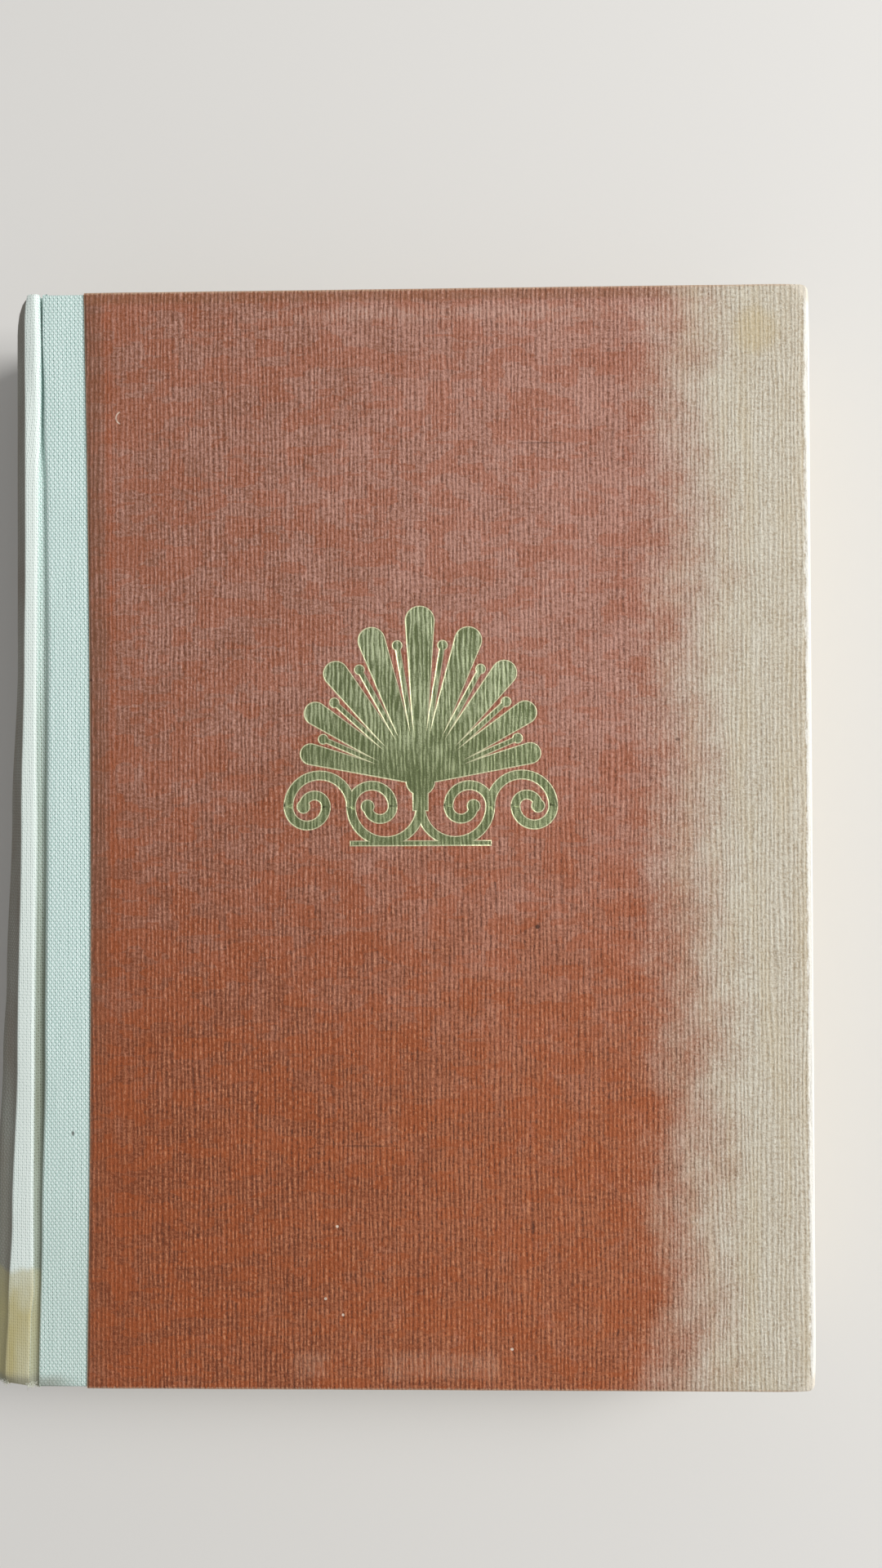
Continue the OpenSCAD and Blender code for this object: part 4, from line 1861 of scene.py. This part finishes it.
@dataclass(frozen=True)
class Palmette:
    """The sunk ornament: nine petals with stamens between them, on four scrolls and a ground line."""

    section: Section = SECTION
    centre_x: float = 81.2
    centre_y: float = 25.4
    root_y: float = -13.0
    petal_l: float = 38.0
    petal_step: float = 2.8
    petal_r: float = 3.0
    petal_foot: float = 1.2
    petal_angle: float = 19.0
    side_petals: int = 4
    stamen_share: float = 0.82
    line_w: float = 0.7
    berry_r: float = 0.9
    calyx_r: float = 3.0
    scroll_r: float = 7.6
    scroll_w: float = 1.6
    scroll_drop: float = 5.5
    scroll_shrink: float = 0.6
    outer_share: float = 0.9
    lap: float = 0.02
    depth: float = 0.24
    foil_t: float = 0.03
    rim_rise: float = 0.002
    levels: tuple[tuple[float, float], ...] = ((-0.24, 0.0), (-0.06, 0.28), (-0.012, 0.42), (0.3, 0.6))

    def cutter(self) -> bpy.types.Object:
        """Builds the flared solids that sink the ornament's ground.

        Returns:
            The cutter, which isn't part of the book.
        """
        mesh = bmesh.new()
        mesh.verts.layers.int.new("order")
        root = Matrix.Translation((self.section.board_x + self.centre_x, self.centre_y + self.root_y, 0))
        for index in range(-self.side_petals, self.side_petals + 1):
            turn = root @ Matrix.Rotation(math.radians(-index * self.petal_angle), 4, "Z")
            length = self.petal_l - self.petal_step * abs(index)
            self.sink(mesh, turn, lambda g, n=length: self.petal(n, self.petal_r * n / self.petal_l, g))
        for index in range(-self.side_petals, self.side_petals):
            turn = root @ Matrix.Rotation(math.radians(-(index + 0.5) * self.petal_angle), 4, "Z")
            length = (self.petal_l - self.petal_step * abs(index + 0.5)) * self.stamen_share
            half = self.line_w / 2
            self.sink(mesh, turn, lambda g, n=length: self.bar(-half, half, 0.0, n, g))
            self.sink(mesh, turn @ Matrix.Translation((0, length, 0)), lambda g: self.disc(self.berry_r, g))
        self.sink(mesh, root, lambda g: self.disc(self.calyx_r, g))
        low = -self.scroll_drop
        stem = (-self.calyx_r / 2, self.calyx_r / 2, low - self.scroll_w / 2, -self.scroll_w / 2)
        self.sink(mesh, root, lambda g: self.bar(*stem, g))
        reach = 2 * self.scroll_r
        foot = low - self.scroll_r - self.scroll_w / 2
        self.sink(mesh, root, lambda g: self.bar(-reach, reach, foot, foot + self.line_w, g))
        for mirror in (1, -1):
            flip = root @ Matrix.Translation((0, low, 0)) @ Matrix.Diagonal((mirror, 1, 1, 1))
            self.scroll(mesh, flip, self.scroll_r, -1)
            self.scroll(mesh, flip @ Matrix.Translation((reach, 0, 0)), self.scroll_r * self.outer_share, 1)
        bmesh.ops.recalc_face_normals(mesh, faces=mesh.faces)
        return set_in_place(mesh, "ornament_cutter", Side.FRONT)

    def sink(self, mesh: bmesh.types.BMesh, turn: Matrix, outline: Callable[[float], list[Point]]) -> None:
        """Adds one flared solid to the cutter.

        Args:
            mesh: The cutter.
            turn: Where the outline stands on the cover.
            outline: The outline's points when it is grown by a distance.
        """
        face_z = self.section.face_z
        order = mesh.verts.layers.int["order"]
        height, grown = self.levels[0]
        verts = []
        for index, (x, y) in enumerate(outline(grown)):
            vert = mesh.verts.new(turn @ Vector((x, y, face_z + height)))
            vert[order] = index
            verts.append(vert)
        ring = mesh.faces.new(verts)
        for level, (height, grown) in enumerate(self.levels[1:]):
            ring = draw_out(mesh, ring, level == 0)
            targets = [turn @ Vector((x, y, face_z + height)) for x, y in outline(grown)]
            for vert in ring.verts:
                vert.co = targets[vert[order]]

    def scroll(self, mesh: bmesh.types.BMesh, turn: Matrix, radius: float, way: int) -> None:
        """Adds a scroll of half rings that shrink turn by turn to a berry.

        Args:
            mesh: The cutter.
            turn: Where the scroll begins on the cover.
            radius: The radius of its first half ring.
            way: 1 if that stands above the scroll's middle, -1 if below.
        """
        middle = radius * self.scroll_shrink
        inner = middle * self.scroll_shrink
        rings = (
            (radius, radius, way),
            (2 * radius - middle, middle, -way),
            (2 * (radius - middle) + inner, inner, way),
        )
        for x, size, above in rings:
            place = turn @ Matrix.Translation((x, 0, 0))
            self.sink(mesh, place, lambda g, r=size, a=above: self.half_ring(r, a, g))
        place = turn @ Matrix.Translation((2 * (radius - middle + inner), 0, 0))
        self.sink(mesh, place, lambda g: self.disc(self.berry_r + self.line_w / 2, g))

    def petal(self, length: float, radius: float, grown: float) -> list[Point]:
        """A petal from a narrow foot to a round tip.

        Args:
            length: Its length.
            radius: The radius of its tip.
            grown: The distance that it is grown by.

        Returns:
            The outline.
        """
        tip = arc((0.0, length - radius), radius + grown, 0, 180, 14)
        foot = self.petal_foot / 2 + grown
        return [*tip, (-foot, -grown), (foot, -grown)]

    def disc(self, radius: float, grown: float) -> list[Point]:
        """A round outline, grown by a distance."""
        return arc((0.0, 0.0), radius + grown, 0, 360 * 23 / 24, 23)

    def bar(self, x0: float, x1: float, y0: float, y1: float, grown: float) -> list[Point]:
        """A straight outline, grown by a distance."""
        return [
            (x0 - grown, y0 - grown),
            (x1 + grown, y0 - grown),
            (x1 + grown, y1 + grown),
            (x0 - grown, y1 + grown),
        ]

    def half_ring(self, radius: float, way: int, grown: float) -> list[Point]:
        """Half a ring above or below its middle.

        Args:
            radius: The radius of the ring's middle line.
            way: 1 for the half above, -1 for the half below.
            grown: The distance that it is grown by.

        Returns:
            The outline.
        """
        outer = radius + self.scroll_w / 2 + grown
        inner = radius - self.scroll_w / 2 - grown
        lap = -way * self.lap
        points = [(outer, lap)]
        points += arc((0.0, 0.0), outer, 0, way * 180, 20)
        points += [(-outer, lap), (-inner, lap)]
        points += arc((0.0, 0.0), inner, way * 180, 0, 20)
        points += [(inner, lap)]
        return points if way > 0 else points[::-1]

    def gild(self, paper: bpy.types.Object) -> bpy.types.Object:
        """Lays the foil in the sunk ground of the paper.

        Args:
            paper: The paper with its ornament sunk.

        Returns:
            The foil.
        """
        mesh = bmesh.new()
        mesh.from_mesh(paper.data)
        s = self.section
        top = s.middle_z + s.face_z
        floor = (top - self.depth - 0.01) * MM
        rim = (top + self.levels[1][0] + self.rim_rise) * MM
        centre = Vector((s.hinge_x + s.board_x + self.centre_x, self.centre_y)) * MM
        gone = []
        for face in mesh.faces:
            spots = [vert.co for vert in face.verts]
            sunk = all(floor < spot.z < rim for spot in spots) and face.normal.z > 0.2
            near = (face.calc_center_median().xy - centre).length < self.petal_l * 1.2 * MM
            if not (sunk and near):
                gone.append(face)
        bmesh.ops.delete(mesh, geom=gone, context="FACES")
        bmesh.ops.remove_doubles(mesh, verts=mesh.verts, dist=0.00001 * MM)
        foil = stand_mesh(mesh, "gilt_palmette")
        foil.data.materials.clear()
        shade(foil, 20.0)
        solid = foil.modifiers.new("foil", "SOLIDIFY")
        solid.thickness = self.foil_t * MM
        solid.offset = 1.0
        foil.data.materials.append(GiltFinish().material())
        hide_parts("gilt_ornament")
        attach(foil, Side.FRONT.body)
        LOG.info("%s: %d faces", foil.name, len(foil.data.polygons))
        return foil


@dataclass
class SewnPages:
    """The rounded and backed block of leaves, in many thin slips that splay over the shoulders."""

    section: Section = SECTION
    slips: int = 108
    across: int = 26
    along: int = 6
    gap: float = 0.035
    crowding: float = 2.2
    splay_w: float = 3.0
    steep_share: float = 0.9
    spine_lap: float = 0.2
    fore_play: Point = (-0.12, 0.04)
    end_play: Point = (0.0, 0.12)
    seed: int = 11

    def height(self, x: float, share: float) -> float:
        """Height of a slip above the block's middle.

        Args:
            x: Place across the book.
            share: The slip's place in the block, -1 at the bottom to 1 at the top.

        Returns:
            The height.
        """
        s = self.section
        flat = share * s.half_block
        angle = 180 - abs(share) * (180 - s.tip_angle)
        end_x, end_z = s.spine_point(0.0, angle)
        lift = end_z - abs(flat)
        start = s.foot[0] + self.splay_w * (1 - abs(share))
        part = min(max((start - x) / (start - end_x), 0.0), 1.0)
        steep = abs(share) > self.steep_share
        bend = 1 - math.sqrt(max(1 - part * part, 0.0)) if steep else part * part
        return flat + math.copysign(lift * bend, share)

    def ends(self, share: float) -> tuple[float, float]:
        """Where a slip begins at the spine and ends at the hollow fore-edge.

        Args:
            share: The slip's place in the block, -1 at the bottom to 1 at the top.

        Returns:
            The two places across the book.
        """
        s = self.section
        angle = 180 - abs(share) * (180 - s.tip_angle)
        radius = (s.half_block**2 + s.fore_hollow**2) / (2 * s.fore_hollow)
        height = share * s.half_block
        fore = s.page_x - s.fore_hollow + radius - math.sqrt(radius**2 - height**2)
        return s.spine_point(-self.spine_lap, angle)[0], fore

    def build(self) -> bpy.types.Object:
        """Builds and dresses the block.

        Returns:
            The piece.
        """
        s = self.section
        chance = random.Random(self.seed)
        mesh = bmesh.new()
        layer = mesh.verts.layers.float_vector.new("leaf_tone")
        thick = 2 * s.half_block / self.slips
        for index in range(self.slips):
            share = -1 + (2 * index + 1) / self.slips
            begin, fore = self.ends(share)
            fore += chance.uniform(*self.fore_play)
            half = s.page_half - chance.uniform(*self.end_play)
            tone = chance.random()
            made = bmesh.ops.create_grid(mesh, x_segments=self.across, y_segments=self.along, size=1.0)
            for vert in made["verts"]:
                part = (vert.co.x + 1) / 2
                x = begin + (fore - begin) * part**self.crowding
                z = self.height(x, share) - thick / 2 + self.gap / 2
                y = vert.co.y * half
                vert.co = Vector((x, y, z))
                vert[layer] = Vector((tone, share * s.half_block, 0))
            up = bmesh.ops.extrude_face_region(mesh, geom=attached(made["verts"]), use_keep_orig=True)
            verts = [item for item in up["geom"] if isinstance(item, bmesh.types.BMVert)]
            bmesh.ops.translate(mesh, vec=(0, 0, thick - self.gap), verts=verts)
            for vert in verts:
                vert[layer] = Vector((tone, (share + 1 / self.slips) * s.half_block, 0))
        bmesh.ops.recalc_face_normals(mesh, faces=mesh.faces)
        piece = make_piece(mesh, "sewn_pages", Side.FRONT, 30.0, PageEdgeFinish().material())
        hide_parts("text_block")
        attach(piece, "text_block")
        LOG.info("%s: %d slips", piece.name, self.slips)
        return piece


@dataclass
class Endpaper:
    """A folded endpaper: a free leaf on the pages, and a leaf pasted to the board."""

    side: Side
    section: Section = SECTION
    rows: int = 30
    flat_steps: int = 30
    joint_steps: int = 12
    joint_x: float = 1.6
    tip_rise: float = 0.2
    end_gap: float = 0.05
    apart: float = 300.0

    def foot_path(self, offset: float) -> list[Point]:
        """The leaf's way down the shoulder's wall.

        Args:
            offset: How far the leaf's face stands off the block.

        Returns:
            The points, down to the foot of the wall.
        """
        s = self.section
        reach = s.groove_r + s.wall
        start = (s.foot[0] - reach + offset, s.tip_z + self.tip_rise)
        return [start, *arc(s.foot, reach - offset, 180, 270, 8)]

    def leaf(self, name: str, points: list[Point]) -> bpy.types.Object:
        """Makes one leaf from its section, thickened downwards.

        Args:
            name: The piece's name.
            points: The leaf's upper face, from the spine to the fore-edge.

        Returns:
            The piece.
        """
        columns = len(points) - 1
        reach = distances(points)
        mesh = bmesh.new()
        bmesh.ops.create_grid(mesh, x_segments=columns, y_segments=self.rows, size=1.0)
        layer = mesh.verts.layers.float_vector.new("sheet_place")
        for vert in mesh.verts:
            column = round((vert.co.x + 1) / 2 * columns)
            x, z = points[column]
            y = vert.co.y * (self.section.page_half - self.end_gap)
            vert.co = Vector((x, y, z))
            vert[layer] = Vector((reach[column] + self.apart * self.side.value, y, 0))
        face_out(mesh, lambda centre: -centre.x, Vector((0, 0, 1)))
        piece = make_piece(mesh, name, self.side, 60.0, PaperFinish("endpaper").material())
        thicken(piece, self.section.leaf_t)
        return piece

    def build(self) -> list[bpy.types.Object]:
        """Builds both leaves.

        Returns:
            The free leaf and the pasted one.
        """
        s = self.section
        word = self.side.word
        free_z = s.half_block + s.leaf_t
        free = self.foot_path(s.leaf_t)
        free += line((s.foot[0], free_z), (s.page_x, free_z), self.flat_steps, 1)
        free_leaf = self.leaf(f"{word}_free_endpaper", free)
        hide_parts(f"{word}_flyleaf")
        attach(free_leaf, "text_block")
        offset = 2 * s.leaf_t + s.leaf_gap
        pasted_z = s.half_block + offset
        pasted = self.foot_path(offset)
        pasted += line((s.foot[0], pasted_z), (self.joint_x, pasted_z), self.joint_steps, 1)
        pasted += line((self.joint_x, pasted_z), (s.page_x, pasted_z), self.flat_steps, 1)
        pasted_leaf = self.leaf(f"{word}_pasted_endpaper", pasted)
        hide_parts(f"{word}_pastedown")
        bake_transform(pasted_leaf)
        LOG.info("%s endpaper: two leaves", word)
        return [free_leaf, pasted_leaf]


@dataclass
class EndBand:
    """A silk band wound over a cord, at the head or the tail of the spine."""

    end: End
    section: Section = SECTION
    bead_d: float = 1.8
    tape_h: float = 10.0
    seat_gap: float = 0.05
    wraps: int = 72
    ring: int = 14
    wrap_steps: int = 4
    ridge: float = 0.07
    tape_steps: int = 40

    def build(self) -> bpy.types.Object:
        """Builds and dresses the band.

        Returns:
            The piece.
        """
        s = self.section
        mesh = bmesh.new()
        layer = mesh.verts.layers.float_vector.new("wrap_place")
        sweep = 2 * (180 - s.inlay_angle)
        bead_r = s.spine_r + (s.mull_t - self.bead_d) / 2
        bead_y = s.page_half + self.seat_gap + self.bead_d / 2
        made = bmesh.ops.create_circle(mesh, cap_ends=True, segments=self.ring, radius=self.bead_d / 2)
        self.wind(mesh, made["verts"], Matrix.Translation((bead_r, bead_y, 0)), self.wraps * self.wrap_steps)
        for vert in mesh.verts:
            offset = Vector((vert.co.x - s.spine_x, vert.co.z))
            angle = math.atan2(offset.y, offset.x) % TAU
            along = (math.degrees(angle) - s.inlay_angle) / sweep
            ridge = 1 + self.ridge * math.cos(TAU * self.wraps * along)
            out = offset.length - bead_r
            up = vert.co.y - bead_y
            around = math.atan2(up, out) / TAU
            offset = offset.normalized() * (bead_r + out * ridge)
            vert.co = Vector((s.spine_x + offset.x, bead_y + up * ridge, offset.y))
            vert[layer] = Vector((along * self.wraps, around, 1.0))
        made = bmesh.ops.create_grid(mesh, x_segments=1, y_segments=1, size=0.5)
        tape = Matrix.Translation((s.spine_r + s.mull_t / 2, s.page_half - self.tape_h / 2, 0))
        tape = tape @ Matrix.Diagonal((s.mull_t, self.tape_h, 1, 1))
        self.wind(mesh, made["verts"], tape, self.tape_steps)
        for vert in mesh.verts:
            if vert[layer].z == 0:
                vert[layer] = Vector((vert.co.z, vert.co.y, 0.0))
        bmesh.ops.recalc_face_normals(mesh, faces=mesh.faces)
        if self.end is End.TAIL:
            bmesh.ops.scale(mesh, vec=(1, -1, 1), verts=mesh.verts)
            bmesh.ops.reverse_faces(mesh, faces=mesh.faces)
        piece = make_piece(mesh, f"{self.end.word}_band_silk", Side.FRONT, 50.0, BandFinish().material())
        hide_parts(f"{self.end.word}_band")
        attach(piece, "text_block")
        LOG.info("%s: %d wraps", piece.name, self.wraps)
        return piece

    def wind(self, mesh: bmesh.types.BMesh, verts: list[Any], place: Matrix, steps: int) -> None:
        """Draws an outline round the spine, from one edge of the inlay to the other.

        Args:
            mesh: The band.
            verts: The outline's points.
            place: Where the outline goes, counted from the centre of the rounded spine.
            steps: The number of steps.
        """
        s = self.section
        centre = (s.spine_x, 0, 0)
        turn = Matrix.Rotation(math.radians(-s.inlay_angle), 4, "Y")
        bmesh.ops.transform(mesh, matrix=Matrix.Translation(centre) @ turn @ place, verts=verts)
        bmesh.ops.spin(
            mesh,
            geom=attached(verts),
            cent=centre,
            axis=(0, -1, 0),
            angle=math.radians(2 * (180 - s.inlay_angle)),
            steps=steps,
            use_merge=False,
        )


@dataclass
class TailFray:
    """Loose threads on the worn edge of the cloth at the tail of the spine."""

    section: Section = SECTION
    count: int = 260
    seed: int = 5
    radius: float = 0.06
    sides: int = 5
    steps: int = 5
    curl: float = 0.35
    taper: float = 0.84
    edge_in: float = 0.6
    spine_points: int = 8
    crowding: float = 1.3

    def build(self) -> bpy.types.Object:
        """Builds and dresses the threads.

        Returns:
            The piece.
        """
        s = self.section
        chance = random.Random(self.seed)
        mesh = bmesh.new()
        points = CoveringCloth(Side.FRONT).face(-s.board_half + self.edge_in)
        first = next(index for index, point in enumerate(points) if point[0] < -s.groove_x)
        last = len(points) - self.spine_points
        for _ in range(self.count):
            place = first + (last - first) * chance.random() ** self.crowding
            index = int(place)
            x, z = points[index]
            next_x, next_z = points[index + 1]
            outward = Vector((next_z - z, 0, x - next_x)).normalized()
            start = Vector((x, -s.board_half + chance.uniform(0.15, 1.3), z))
            start -= outward * chance.uniform(0.05, 0.3)
            way = Vector((chance.uniform(-1.0, 1.0), chance.uniform(-0.5, 0.2), 0))
            way += outward * chance.uniform(0.0, 0.3)
            self.thread(mesh, start, way.normalized(), chance)
        piece = make_piece(mesh, "tail_fray", Side.FRONT, 80.0, FibreFinish().material())
        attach(piece, "text_block")
        LOG.info("%s: %d threads", piece.name, self.count)
        return piece

    def thread(self, mesh: bmesh.types.BMesh, start: Vector, way: Vector, chance: random.Random) -> None:
        """Adds one curling thread.

        Args:
            mesh: The threads.
            start: Where it begins.
            way: The direction in which it begins.
            chance: The source of its curl.
        """
        made = bmesh.ops.create_circle(mesh, cap_ends=True, segments=self.sides, radius=self.radius)
        turn = Matrix.Translation(start) @ way.to_track_quat("Z", "Y").to_matrix().to_4x4()
        bmesh.ops.transform(mesh, matrix=turn, verts=made["verts"])
        ring = next(iter({face for vert in made["verts"] for face in vert.link_faces}))
        place = start.copy()
        bend = Vector((chance.uniform(-1.2, 1.2), chance.uniform(-0.9, 0.5), chance.uniform(-0.5, 0.2)))
        step = chance.uniform(0.08, 0.2)
        for index in range(self.steps):
            ring = draw_out(mesh, ring, index == 0)
            way = (way + bend * self.curl).normalized()
            bmesh.ops.translate(mesh, vec=way * step, verts=ring.verts)
            place += way * step
            shrink = Matrix.Translation(place) @ Matrix.Scale(self.taper, 4) @ Matrix.Translation(-place)
            bmesh.ops.transform(mesh, matrix=shrink, verts=ring.verts)


class Core:
    """The hidden pieces that stay as they are packed, and take their own materials."""

    def dress(self) -> None:
        """Gives each hidden piece its material."""
        card = BROWN_CARD.material()
        gauze = MullFinish().material()
        finishes = {"spine_lining": card, "mull": gauze, "front_mull_flap": gauze, "back_mull_flap": gauze}
        for node, finish in finishes.items():
            piece = frame["nodes"][node]
            piece.data.materials.clear()
            piece.data.materials.append(finish)
            LOG.info("%s: dressed", node)


@dataclass
class Studio:
    """A pale floor, soft light from the right and the camera above the book."""

    floor_size: float = 4.0
    camera_place: tuple[float, float, float] = (14.0, 10.205, 288.628)
    camera_turn: tuple[float, float, float] = (0.337, 1.127, -0.277)
    lens: float = 27.02
    sensor: float = 36.0
    near: float = 0.01
    world_level: float = 0.34
    lamp_place: tuple[float, float, float] = (1.25, 0.35, 1.1)
    lamp_size: float = 0.9
    lamp_power: float = 29.0

    def build(self) -> None:
        """Sets up floor, light and camera."""
        mesh = bmesh.new()
        bmesh.ops.create_grid(mesh, x_segments=1, y_segments=1, size=self.floor_size / 2)
        floor = stand_mesh(mesh, "floor")
        floor.location.z = -0.02 * MM
        floor.data.materials.append(Desk("pale_floor").finish(srgb(226, 224, 220), 0.9))
        lamp = bpy.data.lights.new("key_light", "AREA")
        lamp.size = self.lamp_size
        lamp.energy = self.lamp_power
        holder = stand("key_light", lamp)
        holder.location = Vector(self.lamp_place)
        holder.rotation_euler = holder.location.to_track_quat("Z", "Y").to_euler()
        world = bpy.data.worlds.new("studio")
        world.use_nodes = True
        background = world.node_tree.nodes["Background"]
        background.inputs["Color"].default_value = (1, 1, 1, 1)
        background.inputs["Strength"].default_value = self.world_level
        bpy.context.scene.world = world
        lens = bpy.data.cameras.new("camera")
        lens.sensor_width = self.sensor
        lens.lens = self.lens
        lens.clip_start = self.near
        camera = stand("camera", lens)
        camera.location = Vector(self.camera_place) * MM
        camera.rotation_euler = [math.radians(turn) for turn in self.camera_turn]
        bpy.context.scene.camera = camera
        bpy.context.scene.view_settings.view_transform = "Standard"


def main() -> None:
    """Builds the book's pieces in order and reports each."""
    logging.basicConfig(level=logging.INFO, format="%(name)s: %(message)s")
    Studio().build()
    Core().dress()
    SewnPages().build()
    for end in End:
        EndBand(end).build()
    SpineCard().build()
    for side in Side:
        Millboard(side).build()
        Endpaper(side).build()
        CoveringCloth(side).build()
    palmette = Palmette()
    cutter = palmette.cutter()
    front = SidePaper(Side.FRONT).build(cutter)
    bpy.data.objects.remove(cutter)
    palmette.gild(front)
    SidePaper(Side.BACK).build()
    TailFray().build()


if __name__ == "__main__":
    main()
